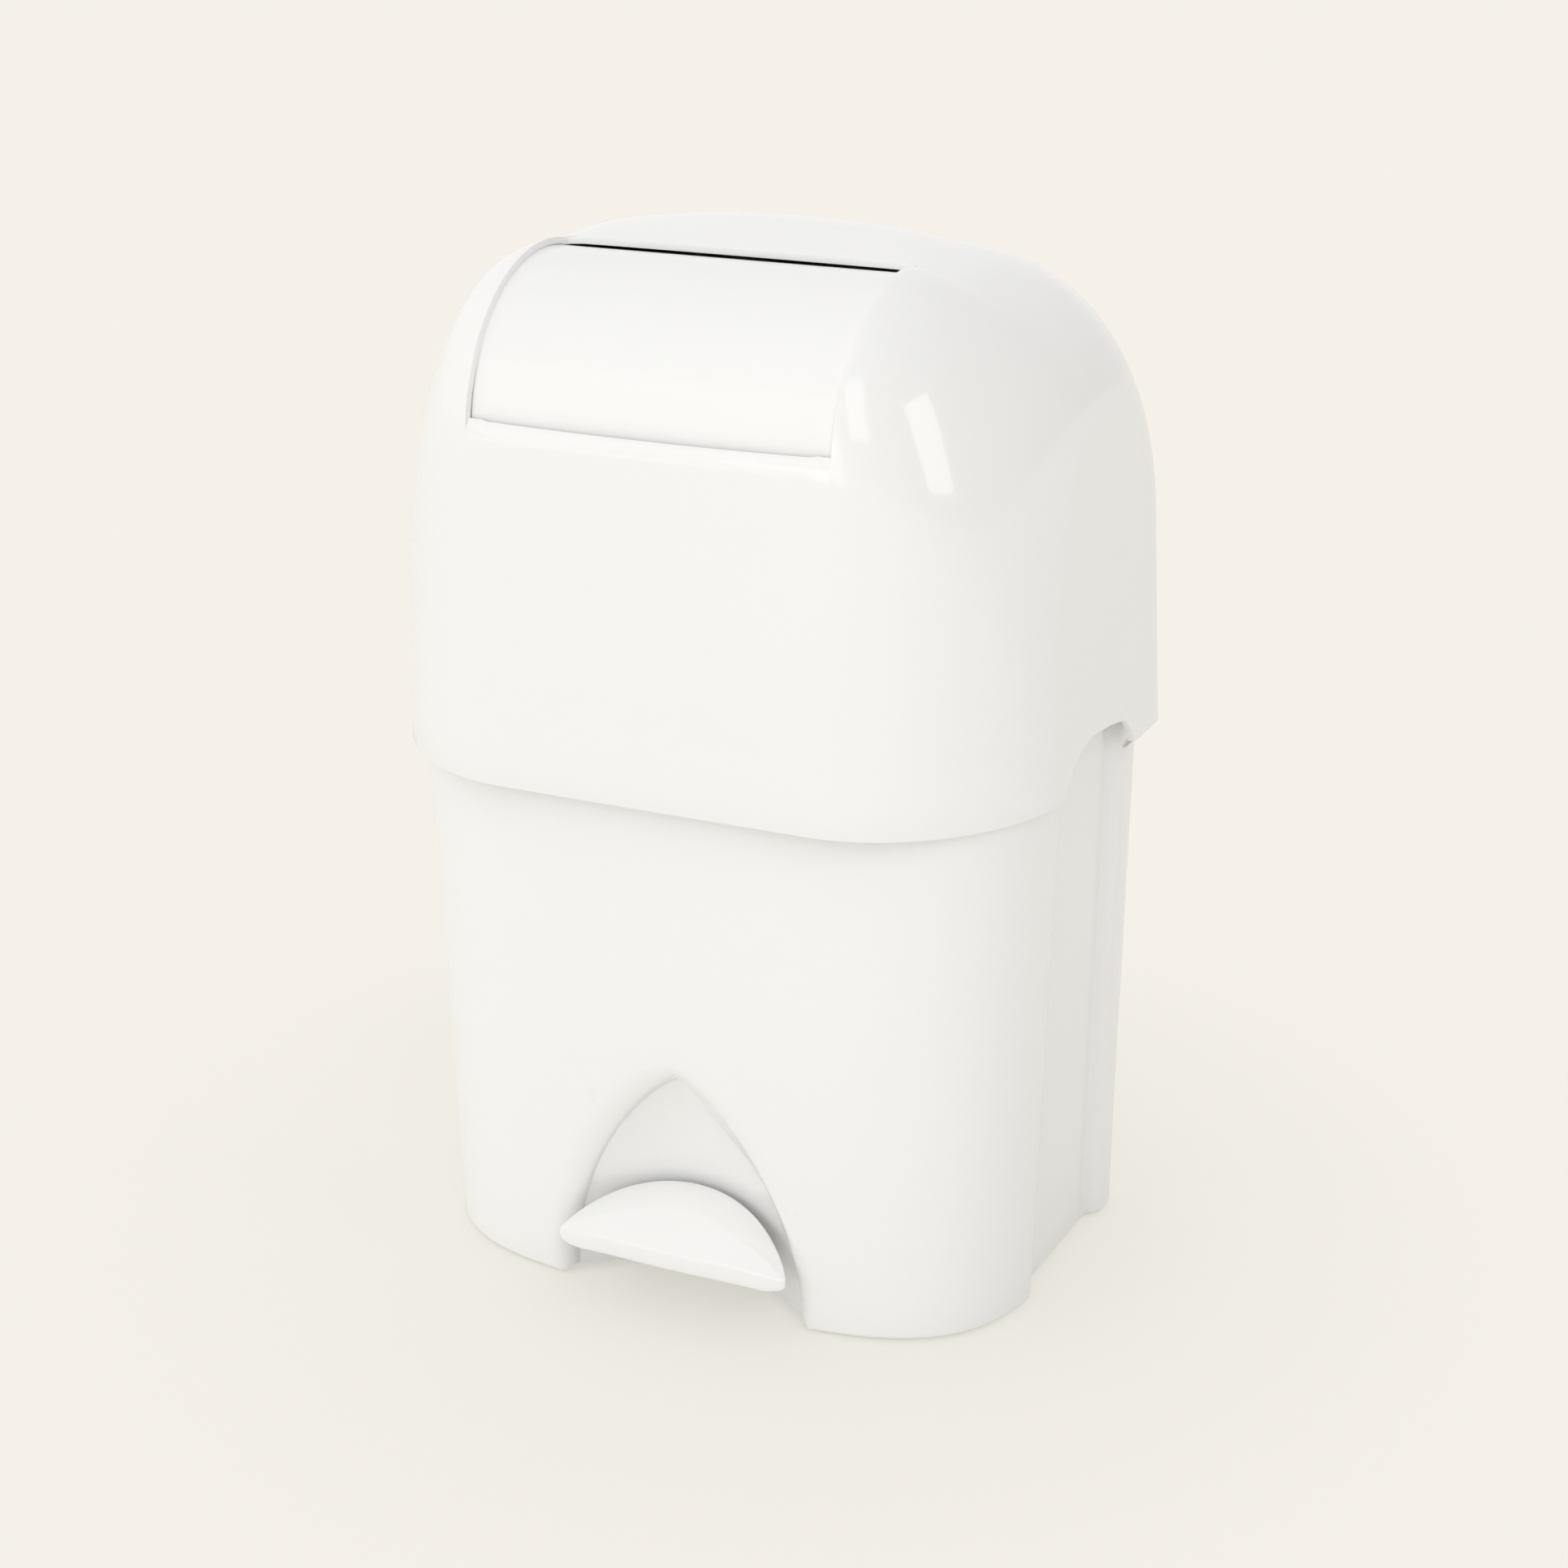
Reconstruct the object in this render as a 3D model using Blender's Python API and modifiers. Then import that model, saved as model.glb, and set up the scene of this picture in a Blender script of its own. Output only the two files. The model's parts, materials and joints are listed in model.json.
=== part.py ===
"""Nappy bin with a foot pedal and a revolving drum lid.

Metres, +Z up. The front is -Y and the right side is +X. The origin is on the floor, in the
middle of the footprint. The lower bin stands on rubber feet. The hood tips back on two hinge
pins. A foot pedal lifts a push rod, the rod lifts a toothed rack in the hood, and the rack turns
the drum through an idler gear, so that the flap rolls back under the roof.
"""
import math

import bmesh
import bpy
from mathutils import Matrix, Vector

# Shared clearances and overruns
fit_gap = 0.0003
running_gap = 0.0006
cut_over = 0.02
merge_distance = 0.00002

# Lower bin: outline sizes at the floor and at the ledge
foot_proud = 0.0010
ledge_z = 0.2300
bin_top_z = 0.2560
bin_wall = 0.0028
bin_front_floor = 0.0870
bin_front_top = 0.0980
bin_half_floor = 0.1397
bin_half_top = 0.1450
bulge_centre_y = 0.0337
bulge_edge_y = -0.0220
pillar_half_floor = 0.1420
pillar_half_top = 0.1437
pillar_front_y = 0.0740
bin_back_floor = 0.0975
bin_back_top = 0.1005
bin_corner = 0.0280
recess_depth = 0.0058
recess_front_y = -0.0080
recess_back_y = 0.0420
bin_edge_round = 0.0024
bulge_power = 3.6
bulge_power_y = 3.8
pillar_cut_x = 0.1380
pillar_cut_front_y = 0.0460
pillar_cut_back_y = 0.0880

# Lower bin: floor, posts and ribs under it
floor_z = 0.0460
floor_thick = 0.0026
post_radius = 0.0085
post_x_front = 0.1080
post_y_front = -0.0440
post_x_back = 0.1180
post_y_back = 0.0720
plug_radius = 0.0050
plug_depth = 0.0080
rubber_radius = 0.0078
rubber_round = 0.0006

# Toe niche over the pedal
niche_half = 0.0555
niche_height = 0.1085
niche_depth = 0.0600
niche_front_y = 0.0900
niche_wall = 0.0026
niche_power = 0.85
niche_round = 0.0085
niche_mouth_half = 0.0628
niche_mouth_height = 0.1175
niche_mouth_power = 0.66
niche_open_z = 0.0300
niche_open_half = 0.0460
niche_open_back = 0.0200

# Pedal axle and the travel that it gives
axle_y = -0.0440
axle_z = 0.0240
axle_radius = 0.0025
axle_half = 0.0740
pedal_swing = 0.33
rod_travel = 0.0165
rod_x = 0.1200
rib_x = 0.0660
rib_thick = 0.0040
rib_half_y = 0.0110
rib_bottom_z = 0.0140
saddle_thick = 0.0030
saddle_side = 0.0015
saddle_screw_y = 0.0075

# Pedal pad
pad_half = 0.0543
pad_mid_y = -0.0953
pad_front = 0.0045
pad_back = 0.0255
pad_side_z = 0.0263
pad_lip_z = 0.0245
pad_back_z = 0.0402
pad_skirt = 0.0098
pad_crown_y = -0.0740
pad_crown_z = 0.0515
pad_wall = 0.0022
pad_front_power = 2.5
pad_back_power = 1.55
pad_boss_radius = 0.0042
pad_boss_x = 0.0240
pad_boss_y = -0.0830

# Pedal lever
lever_thick = 0.0040
lever_half_front = 0.0330
lever_front_y = -0.0905
lever_plate_z = 0.0215
lever_barrel = 0.0050
lever_barrel_half = 0.0600
lever_nose = 0.0040
lever_nose_half = 0.0090
lever_rib_height = 0.0045
lever_rib_thick = 0.0030
lever_arm_shares = ((0.15, 0.0), (0.483, 0.0), (0.51, 0.33), (1.035, 0.80), (1.07, 0.90),
                    (1.07, 1.0), (0.93, 1.0), (0.90, 0.93), (0.40, 0.60), (0.15, 0.20))
lever_rib_start_shares = (0.33, 0.16)
lever_rib_end_shares = (0.95, 0.88)

# Push rod, its guides and its spring
rod_radius = 0.0030
rod_foot_radius = 0.0080
rod_foot_thick = 0.0030
rod_head_z = 0.2530
cap_radius = 0.0060
cap_height = 0.0080
cap_top = 0.0022
bush_radius = 0.0060
bush_flange = 0.0085
bush_flange_thick = 0.0020
bush_below = 0.0040
guide_z = 0.1300
guide_thick = 0.0030
guide_half_y = 0.0088
guide_flange_height = 0.0180
guide_screw_y = 0.0044
guide_screw_rise = 0.0130
guide_boss_radius = 0.0040
guide_pilot_depth = 0.0035
guide_seat_x = 0.1290
guide_inner_x = 0.1120
guide_gusset = 0.0090
collar_z = 0.0740
collar_thick = 0.0030
collar_radius = 0.0065
spring_wire = 0.0011
spring_radius = 0.0052
spring_turns = 9
spring_end_pitch = 0.0031
cover_wall = 0.0018
cover_half_y = 0.0125
cover_inner_x = 0.1075
cover_top_z = 0.2490
cover_wall_gap = 0.0010

# Bag ring that drops on the bin's rim
ring_thick = 0.0024
ring_half_x = 0.0980
ring_half_y = 0.0740
ring_centre_y = -0.0140
ring_collar_depth = 0.0120
ring_collar_wall = 0.0022
ring_power = 2.8
ring_skirt_depth = 0.0060
ring_skirt_wall = 0.0022
ring_skirt_gap = 0.0008
ring_rod_hole = 0.0075
ring_edge_inset = 0.0005

# Hood: profile in the middle plane and rounded ends
hood_rim_z = 0.2380
hood_half = 0.1520
hood_wall = 0.0028
hood_front_rim = 0.1068
hood_front_window = 0.1090
drum_y = -0.0397
drum_z = 0.3819
arc_radius = 0.0693
crest_y = 0.0070
crest_z = 0.4496
crown = 0.0069
crown_half = 0.0875
hood_back = 0.1103
hood_back_z = 0.3278
back_power = 2.44
corner_x_front = 0.0772
corner_x_top = 0.0740
corner_x_back = 0.0284
corner_power = 1.857
side_front_y = -0.0316
side_front_z = 0.2560
side_crest_y = 0.0151
side_crest_z = 0.3832
side_back_y = 0.0790
side_back_z = 0.3352
side_middle_z = 0.3560
side_turn_share = 0.85
front_bulge = 0.0013
hood_draft_share = 0.054
hood_widest_y = 0.0640
hood_taper_share = 0.055

# Window in the hood
window_half = 0.0782
window_sill_z = 0.3862
window_slit_y = -0.0223
window_cheek_thick = 0.0025
window_cheek_depth = 0.0090
window_cheek_sink = 0.0025
window_cheek_deg = 176.0
window_chamfer = 0.0022

# Hand notches in the hood's rim, as shares of their length and height
notch_front_y = -0.0245
notch_back_y = 0.0535
notch_top_z = 0.2555
notch_shares = ((0.0, -1.0), (0.0, 0.0), (0.04, 0.35), (0.09, 0.62), (0.22, 0.87), (0.35, 1.0),
                (0.60, 0.92), (0.80, 0.78), (0.87, 0.63), (0.92, 0.40), (0.98, 0.0), (1.0, -1.0))

# Hinge between bin and hood
hinge_y = 0.1050
hinge_z = 0.2310
hinge_barrel = 0.0040
hinge_pin_radius = 0.0015
hinge_pin_head = 0.0028
hinge_pin_head_thick = 0.0012
hinge_x = 0.0720
knuckle_width = 0.0120
ear_width = 0.0080
hinge_web = 0.0030

# Cradle in the hood that carries the drum
tray_z = 0.2660
tray_thick = 0.0028
tray_gap = 0.0012
tray_open_half_x = 0.0820
tray_open_front = 0.0880
tray_open_back = 0.0560
tray_open_corner = 0.0140
tray_rim = 0.0060
tray_rim_wall = 0.0022
tray_rod_hole = 0.0078
cheek_x = 0.1060
cheek_thick = 0.0030
cheek_foot_front_y = -0.0840
cheek_foot_back_y = 0.0340
cheek_waist_y = 0.0240
cheek_waist_z = 0.3360
cheek_head = 0.0145
cheek_idler_head = 0.0100
gusset_reach = 0.0160
gusset_height = 0.0500
gusset_thick = 0.0025
gusset_front_y = -0.0700
gusset_back_y = 0.0200
boss_radius = 0.0050
boss_height = 0.0200
boss_side_x = 0.1425
boss_side_y = 0.0660
boss_front_x = 0.0600
boss_front_y = -0.1025

# Drum
drum_radius = 0.0654
drum_wall = 0.0025
drum_half = 0.0767
drum_disc_thick = 0.0030
drum_hub = 0.0040
flap_start_deg = 72.3
flap_end_deg = 181.0
scoop_start_deg = 280.0
scoop_end_deg = 431.7
flap_boss_degs = (92.0, 158.0)
scoop_boss_degs = (298.0, 45.0)
drum_boss_radius = 0.0035
drum_boss_length = 0.0120
drum_boss_inset = 0.0055

# Axles and bearings
stub_radius = 0.0050
stub_flange = 0.0130
stub_flange_thick = 0.0030
stub_end_left = 0.1130
stub_end_right = 0.1250
stub_flat = 0.0037
stub_flat_x = 0.1129
bearing_radius = 0.0085
bearing_flange = 0.0110
bearing_length = 0.0090
bearing_flange_thick = 0.0020

# Gears and rack
gear_module = 0.0010
drum_teeth = 18
idler_teeth = 30
gear_width = 0.0080
gear_inner_x = 0.1160
gear_backlash = 0.0004
dedendum_share = 1.25
pressure_angle = math.radians(20.0)
gear_hub = 0.0070
idler_hub = 0.0050
idler_pin_radius = 0.0020
idler_pin_head = 0.0035
idler_pin_head_thick = 0.0015
rack_back = 0.0070
rack_teeth_below = 8
rack_teeth_above = 2
rack_stop = 0.0030
rack_stop_proud = 0.0020
rack_guide_z = 0.3200
rack_guide_height = 0.0260
rack_guide_wall = 0.0022
rack_guide_gap = 0.0005
rack_ear = 0.0090
rack_ear_height = 0.0160
rack_ear_thick = 0.0028

# Screws
screw_radius = 0.0012
screw_head = 0.0026
screw_head_thick = 0.0016
screw_length = 0.0090
short_screw_length = 0.0060

# Worked out from the sizes above
drum_pitch = gear_module * drum_teeth / 2.0
idler_pitch = gear_module * idler_teeth / 2.0
idler_y = drum_y + drum_pitch + idler_pitch
rack_pitch_y = idler_y + idler_pitch
lever_arm = rod_travel / pedal_swing
rod_y = axle_y + lever_arm
lever_tilt = pedal_swing / 2.0
nose_z = axle_z - lever_arm * math.sin(lever_tilt)
rod_foot_z = nose_z + lever_nose + fit_gap
pilot_radius = screw_radius + fit_gap
rack_front_y = rack_pitch_y + gear_module * dedendum_share
rack_guide_top_z = rack_guide_z + rack_guide_height / 2.0
disc_radius = drum_radius - drum_wall - fit_gap
boss_circle = drum_radius - drum_boss_inset
ring_z = bin_top_z + fit_gap

# Finishes: base colour, roughness and metallic
white_plastic = ("white_plastic", (0.86, 0.86, 0.85), 0.22, 0.0)
inner_plastic = ("inner_plastic", (0.72, 0.73, 0.74), 0.38, 0.0)
gear_plastic = ("gear_plastic", (0.55, 0.57, 0.58), 0.45, 0.0)
bright_steel = ("bright_steel", (0.62, 0.63, 0.64), 0.28, 1.0)
rubber = ("rubber", (0.09, 0.09, 0.09), 0.8, 0.0)

# The local X, Y and Z of a plate that stands in the YZ plane, and of one that faces the front
ACROSS = Matrix(((0, 0, 1), (1, 0, 0), (0, 1, 0))).to_4x4()
FACING = Matrix(((1, 0, 0), (0, 0, -1), (0, 1, 0))).to_4x4()
SIDES = (("left", -1.0), ("right", 1.0))


def clear_scene():
    """Remove every object of the open file."""
    for thing in list(bpy.data.objects):
        bpy.data.objects.remove(thing, do_unlink=True)


def new_collection(name):
    """A new collection in the scene."""
    group = bpy.data.collections.new(name)
    bpy.context.scene.collection.children.link(group)
    return group


def finish_material(name, finish):
    """A piece's own Principled material in one of the finishes."""
    colour, roughness, metallic = finish[1:]
    material = bpy.data.materials.new(name)
    material.use_nodes = True
    shader = material.node_tree.nodes["Principled BSDF"]
    shader.inputs["Base Color"].default_value = (*colour, 1.0)
    shader.inputs["Roughness"].default_value = roughness
    shader.inputs["Metallic"].default_value = metallic
    return material


def add_part(name, mesh, finish, pivot=None):
    """A visible piece of the bin, linked to its collection and carried by its pivot."""
    part = bpy.data.objects.new(name, mesh)
    parts.objects.link(part)
    mesh.materials.clear()
    mesh.materials.append(finish_material(name, finish))
    if pivot is not None:
        part.parent = pivot
        part.matrix_parent_inverse = Matrix.Translation(-Vector(pivot["axis_point"]))
    return part


def add_cutter(name, mesh):
    """A guide solid that is cut from, or joined to, a piece."""
    tool = bpy.data.objects.new(name, mesh)
    cutters.objects.link(tool)
    tool.hide_render = True
    tool.display_type = "WIRE"
    return tool


def add_pivot(name, place, carrier=None):
    """An empty on a joint's axis, which carries a moving body."""
    pivot = bpy.data.objects.new(name, None)
    parts.objects.link(pivot)
    pivot["axis_point"] = place
    pivot.location = place
    if carrier is not None:
        pivot.parent = carrier
        pivot.matrix_parent_inverse = Matrix.Translation(-Vector(carrier["axis_point"]))
    return pivot


def to_mesh(name, bm, closed=True):
    """A mesh made of a bmesh; a closed one gets its faces pointing out."""
    bmesh.ops.remove_doubles(bm, verts=bm.verts, dist=merge_distance)
    if closed:
        bmesh.ops.recalc_face_normals(bm, faces=bm.faces)
    mesh = bpy.data.meshes.new(name)
    bm.to_mesh(mesh)
    bm.free()
    return mesh


def round_shading(mesh, angle_deg=32.0):
    """Smooth shading with edges kept sharp over an angle."""
    mesh.shade_smooth()
    mesh.set_sharp_from_angle(angle=math.radians(angle_deg))


def side_mesh(mesh, side):
    """The mesh as built for the right side, or mirrored to the left."""
    if side < 0.0:
        mesh.transform(Matrix.Scale(-1.0, 4, (1.0, 0.0, 0.0)))
        mesh.flip_normals()
    return mesh


def box_mesh(name, low, high):
    """A box between two corners."""
    bm = bmesh.new()
    low = Vector(low)
    high = Vector(high)
    size = high - low
    place = Matrix.Translation((low + high) / 2.0) @ Matrix.Diagonal((*size, 1.0))
    bmesh.ops.create_cube(bm, size=1.0, matrix=place)
    return to_mesh(name, bm)


def bar_mesh(name, start, end, radius, segments=16):
    """A round bar between two points."""
    bm = bmesh.new()
    start = Vector(start)
    end = Vector(end)
    along = end - start
    turn = along.to_track_quat("Z", "Y").to_matrix().to_4x4()
    place = Matrix.Translation((start + end) / 2.0) @ turn
    bmesh.ops.create_cone(bm, cap_ends=True, segments=segments, radius1=radius, radius2=radius,
                          depth=along.length, matrix=place)
    mesh = to_mesh(name, bm)
    round_shading(mesh)
    return mesh


def evaluated_mesh(carrier):
    """The welded mesh that an object's modifiers or curve give; the object is removed."""
    graph = bpy.context.evaluated_depsgraph_get()
    graph.update()
    mesh = bpy.data.meshes.new_from_object(carrier.evaluated_get(graph))
    bm = bmesh.new()
    bm.from_mesh(mesh)
    bmesh.ops.remove_doubles(bm, verts=bm.verts, dist=merge_distance)
    bmesh.ops.recalc_face_normals(bm, faces=bm.faces)
    bm.to_mesh(mesh)
    bm.free()
    mesh.materials.clear()
    bpy.data.objects.remove(carrier, do_unlink=True)
    return mesh


def turned_mesh(name, profile, segments=28, place=None):
    """A profile of (radius, height), top to bottom, turned about Z by a Screw modifier."""
    bm = bmesh.new()
    points = [bm.verts.new((radius, 0.0, height)) for radius, height in profile]
    for first, second in zip(points, points[1:]):
        bm.edges.new((first, second))
    if profile[0][0] > 0.0:
        bm.edges.new((points[-1], points[0]))
    wire = bpy.data.meshes.new(name + "_profile")
    bm.to_mesh(wire)
    bm.free()
    carrier = bpy.data.objects.new(name + "_profile", wire)
    cutters.objects.link(carrier)
    screw = carrier.modifiers.new("turn", "SCREW")
    screw.steps = segments
    screw.render_steps = segments
    screw.use_merge_vertices = True
    screw.merge_threshold = merge_distance
    mesh = evaluated_mesh(carrier)
    if place is not None:
        mesh.transform(place)
    round_shading(mesh)
    return mesh


def plate_mesh(name, outlines, thickness, place=None):
    """A flat plate of an outline with holes, from a filled 2D curve."""
    curve = bpy.data.curves.new(name, "CURVE")
    curve.dimensions = "2D"
    curve.fill_mode = "BOTH"
    curve.extrude = thickness / 2.0
    for outline in outlines:
        spline = curve.splines.new("POLY")
        spline.points.add(len(outline) - 1)
        for point, (across, up) in zip(spline.points, outline):
            point.co = (across, up, 0.0, 1.0)
        spline.use_cyclic_u = True
    carrier = bpy.data.objects.new(name, curve)
    cutters.objects.link(carrier)
    mesh = evaluated_mesh(carrier)
    if place is not None:
        mesh.transform(place)
    return mesh


def lying_plate_mesh(name, outlines, low_z, thickness):
    """A level plate from low_z upwards."""
    return plate_mesh(name, outlines, thickness, Matrix.Translation((0.0, 0.0, low_z + thickness / 2.0)))


def standing_plate_mesh(name, outlines, inner_x, thickness):
    """A plate in the YZ plane, from inner_x outwards along +X."""
    return plate_mesh(name, outlines, thickness,
                      Matrix.Translation((inner_x + thickness / 2.0, 0.0, 0.0)) @ ACROSS)


def facing_plate_mesh(name, outlines, middle_y, thickness):
    """A plate in the XZ plane, centred on middle_y."""
    return plate_mesh(name, outlines, thickness, Matrix.Translation((0.0, middle_y, 0.0)) @ FACING)


def loft_mesh(name, rings, closed_rings=True, cap_first=False, cap_last=False):
    """Quads between successive rings of points, with flat caps where asked."""
    bm = bmesh.new()
    rows = [[bm.verts.new(point) for point in ring] for ring in rings]
    for lower, upper in zip(rows, rows[1:]):
        count = len(lower)
        last = count if closed_rings else count - 1
        for index in range(last):
            following = (index + 1) % count
            bm.faces.new((lower[index], lower[following], upper[following], upper[index]))
    if cap_first:
        bm.faces.new(list(reversed(rows[0])))
    if cap_last:
        bm.faces.new(rows[-1])
    return to_mesh(name, bm, cap_first and cap_last)


def in_triangles(mesh):
    """Split a mesh's bent faces into triangles, so that each of them is flat."""
    bm = bmesh.new()
    bm.from_mesh(mesh)
    bmesh.ops.triangulate(bm, faces=bm.faces)
    bm.to_mesh(mesh)
    bm.free()
    return mesh


def combine(part, tool, operation="DIFFERENCE"):
    """Cut or join a guide solid with an EXACT Boolean."""
    modifier = part.modifiers.new(tool.name, "BOOLEAN")
    modifier.operation = operation
    modifier.solver = "EXACT"
    modifier.object = tool


def cut(part, mesh):
    """Cut a mesh out of a piece."""
    combine(part, add_cutter(mesh.name, mesh))


def join(part, mesh):
    """Join a mesh to a piece."""
    combine(part, add_cutter(mesh.name, mesh), "UNION")


def bake(part):
    """Replace a piece's mesh by what its modifiers make of it, shaded smooth."""
    graph = bpy.context.evaluated_depsgraph_get()
    graph.update()
    mesh = bpy.data.meshes.new_from_object(part.evaluated_get(graph))
    part.modifiers.clear()
    part.data = mesh
    round_shading(mesh)


def solidify(part, thickness):
    """Give an open surface its wall, on the inside."""
    shell = part.modifiers.new("wall", "SOLIDIFY")
    shell.thickness = thickness
    shell.offset = -1.0
    shell.use_even_offset = True
    shell.use_rim = True


def arc(centre, radius, start_deg, end_deg, steps):
    """Points on a circle in a plane, end points included."""
    points = []
    for step in range(steps + 1):
        angle = math.radians(between(start_deg, end_deg, step / steps))
        points.append((centre[0] + radius * math.cos(angle), centre[1] + radius * math.sin(angle)))
    return points


def circle(centre, radius, steps=16):
    """A closed circle of points."""
    return arc(centre, radius, 0.0, 360.0, steps)[:-1]


def rounded_box(low, high, radius, steps=3):
    """A rectangle with rounded corners, counter-clockwise."""
    points = arc((high[0] - radius, low[1] + radius), radius, -90.0, 0.0, steps)
    points += arc((high[0] - radius, high[1] - radius), radius, 0.0, 90.0, steps)
    points += arc((low[0] + radius, high[1] - radius), radius, 90.0, 180.0, steps)
    points += arc((low[0] + radius, low[1] + radius), radius, 180.0, 270.0, steps)
    return points


def oval(centre, half_x, half_y, power, steps=36):
    """A superellipse, counter-clockwise."""
    points = []
    for step in range(steps):
        angle = 2.0 * math.pi * step / steps
        wide = math.copysign(abs(math.cos(angle)) ** (2.0 / power), math.cos(angle))
        deep = math.copysign(abs(math.sin(angle)) ** (2.0 / power), math.sin(angle))
        points.append((centre[0] + half_x * wide, centre[1] + half_y * deep))
    return points


def between(low, high, share):
    """The value at a share of the way from low to high."""
    return low + (high - low) * share


def ease(share):
    """A smooth step from 0 to 1."""
    share = min(1.0, max(0.0, share))
    return share * share * (3.0 - 2.0 * share)


def power_round(angle, power):
    """Sine and cosine of a superellipse's quarter."""
    return math.sin(angle) ** (2.0 / power), max(0.0, math.cos(angle)) ** (2.0 / power)


def inset_outline(points, distance):
    """Move a closed counter-clockwise outline inwards."""
    count = len(points)
    moved = []
    for index, (x, y) in enumerate(points):
        before = points[index - 1]
        after = points[(index + 1) % count]
        run_x = after[0] - before[0]
        run_y = after[1] - before[1]
        run = math.hypot(run_x, run_y)
        moved.append((x - distance * run_y / run, y + distance * run_x / run))
    return moved


def mirrored_outline(half):
    """A closed outline from its right half, which runs from the front centre to the back centre."""
    left = [(-x, y) for x, y in reversed(half[1:-1])]
    return half + left


def at_height(outline, height):
    """An outline as a ring of points at one height."""
    return [(x, y, height) for x, y in outline]


# Lower bin
def bin_half_outline(share):
    """Right half of the bin's plan at a share of the way from the floor to the ledge."""
    half = between(bin_half_floor, bin_half_top, share)
    front = between(bin_front_floor, bin_front_top, share)
    reach = front + bulge_centre_y
    pillar = between(pillar_half_floor, pillar_half_top, share)
    back = between(bin_back_floor, bin_back_top, share)
    edge_depth = (bulge_centre_y - bulge_edge_y) / reach
    edge_angle = math.asin(min(1.0, (1.0 - edge_depth ** bulge_power_y) ** 0.5))
    points = []
    front_steps = 12
    for step in range(front_steps + 1):
        angle = edge_angle * step / front_steps
        wide = math.sin(angle) ** (2.0 / bulge_power)
        deep = math.cos(angle) ** (2.0 / bulge_power_y)
        points.append((half * wide, bulge_centre_y - reach * deep))
    edge_x = points[-1][0]
    side_shares = (0.04, 0.08, 0.14, 0.42, 0.66, 0.75, 0.84, 0.92, 1.0)
    for along in side_shares:
        y = between(bulge_edge_y, pillar_front_y, along)
        full = between(edge_x, pillar, along)
        into = ease((y - bulge_edge_y) / (recess_front_y - bulge_edge_y))
        out = ease((y - recess_back_y) / (pillar_front_y - recess_back_y))
        points.append((full - recess_depth * (into - out), y))
    corner_y = back - bin_corner
    corner = arc((pillar - bin_corner, corner_y), bin_corner, 0.0, 90.0, 5)
    points += [point for point in corner if point[1] > pillar_front_y + merge_distance]
    points.append((0.0, back))
    return points


def bin_outline(height, inset=0.0):
    """The bin's plan at a height, moved inwards by an inset."""
    share = min(1.0, (height - foot_proud) / (ledge_z - foot_proud))
    outline = mirrored_outline(bin_half_outline(share))
    if inset > 0.0:
        outline = inset_outline(outline, inset)
    return outline


def bin_side_x(height, y):
    """The bin's outer half width at a height and a depth."""
    half = bin_outline(height)[:len(bin_outline(height)) // 2]
    for first, second in zip(half, half[1:]):
        if first[1] <= y <= second[1]:
            share = (y - first[1]) / (second[1] - first[1])
            return between(first[0], second[0], share)
    return half[-1][0]


def bin_front_y(height, x):
    """Where the front wall lies at a height and a distance from the middle."""
    half = bin_outline(max(foot_proud, height))[:len(bin_outline(ledge_z)) // 2]
    for first, second in zip(half, half[1:]):
        if first[0] <= x <= second[0]:
            share = (x - first[0]) / (second[0] - first[0])
            return between(first[1], second[1], share)
    return half[0][1]


def niche_mesh(name, half, depth, height):
    """The rounded hollow for the toes, from a sphere pushed to the arch's profile."""
    bm = bmesh.new()
    bmesh.ops.create_uvsphere(bm, u_segments=28, v_segments=18, radius=1.0)
    for vert in bm.verts:
        level = min(1.0, abs(vert.co.z))
        ring = math.sqrt(max(0.0, 1.0 - level * level))
        push = ring ** (2.0 * niche_power - 1.0) if ring > merge_distance else 0.0
        vert.co = Vector((vert.co.x * push * half, vert.co.y * push * depth, vert.co.z * height))
    bmesh.ops.translate(bm, verts=bm.verts, vec=(0.0, -niche_front_y, 0.0))
    return to_mesh(name, bm)


def niche_edge_place(rise, out):
    """A point of the niche's edge: rise runs from foot to top, out from the hollow to the skin."""
    sine = math.sin(math.pi / 2.0 * rise)
    cosine = max(0.0, math.cos(math.pi / 2.0 * rise))
    top_depth = niche_front_y + bin_front_y(niche_height, 0.0) + niche_round
    top_ring = (top_depth / niche_depth) ** (0.5 / niche_power)
    level = sine * math.sqrt(1.0 - top_ring * top_ring)
    wide = (1.0 - level * level) ** niche_power
    height = niche_height * level
    deep = (niche_front_y + bin_front_y(height, niche_half * wide) + niche_round) / niche_depth
    hollow_x = niche_half * math.sqrt(max(0.0, wide * wide - deep * deep))
    skin_x = niche_mouth_half * cosine ** (2.0 * niche_mouth_power)
    return between(hollow_x, skin_x, out), between(height, niche_mouth_height * sine, out)


def niche_mouth_mesh(name, wall=0.0):
    """The flare that rounds the niche's edge; with a wall, what is filled around it."""
    radius = niche_round - wall
    flare = [(1.0, -cut_over)]
    turns = 5
    for turn in range(turns, -1, -1):
        angle = math.pi / 2.0 * turn / turns
        flare.append((1.0 - radius / niche_round * math.cos(angle),
                      niche_round - radius * math.sin(angle)))
    rings = []
    steps = 12
    for out, depth in flare:
        right = [niche_edge_place(step / steps, out) for step in range(steps + 1)]
        right.insert(0, (right[0][0], -cut_over))
        arch = right + [(-x, z) for x, z in reversed(right[:-1])]
        rings.append([(x, bin_front_y(z, abs(x)) + depth, z) for x, z in arch])
    return in_triangles(loft_mesh(name, rings, True, True, True))


def foot_places():
    """Name, x and y of each of the four feet."""
    for tag, side in SIDES:
        yield "front_" + tag, side * post_x_front, post_y_front
        yield "back_" + tag, side * post_x_back, post_y_back


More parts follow.
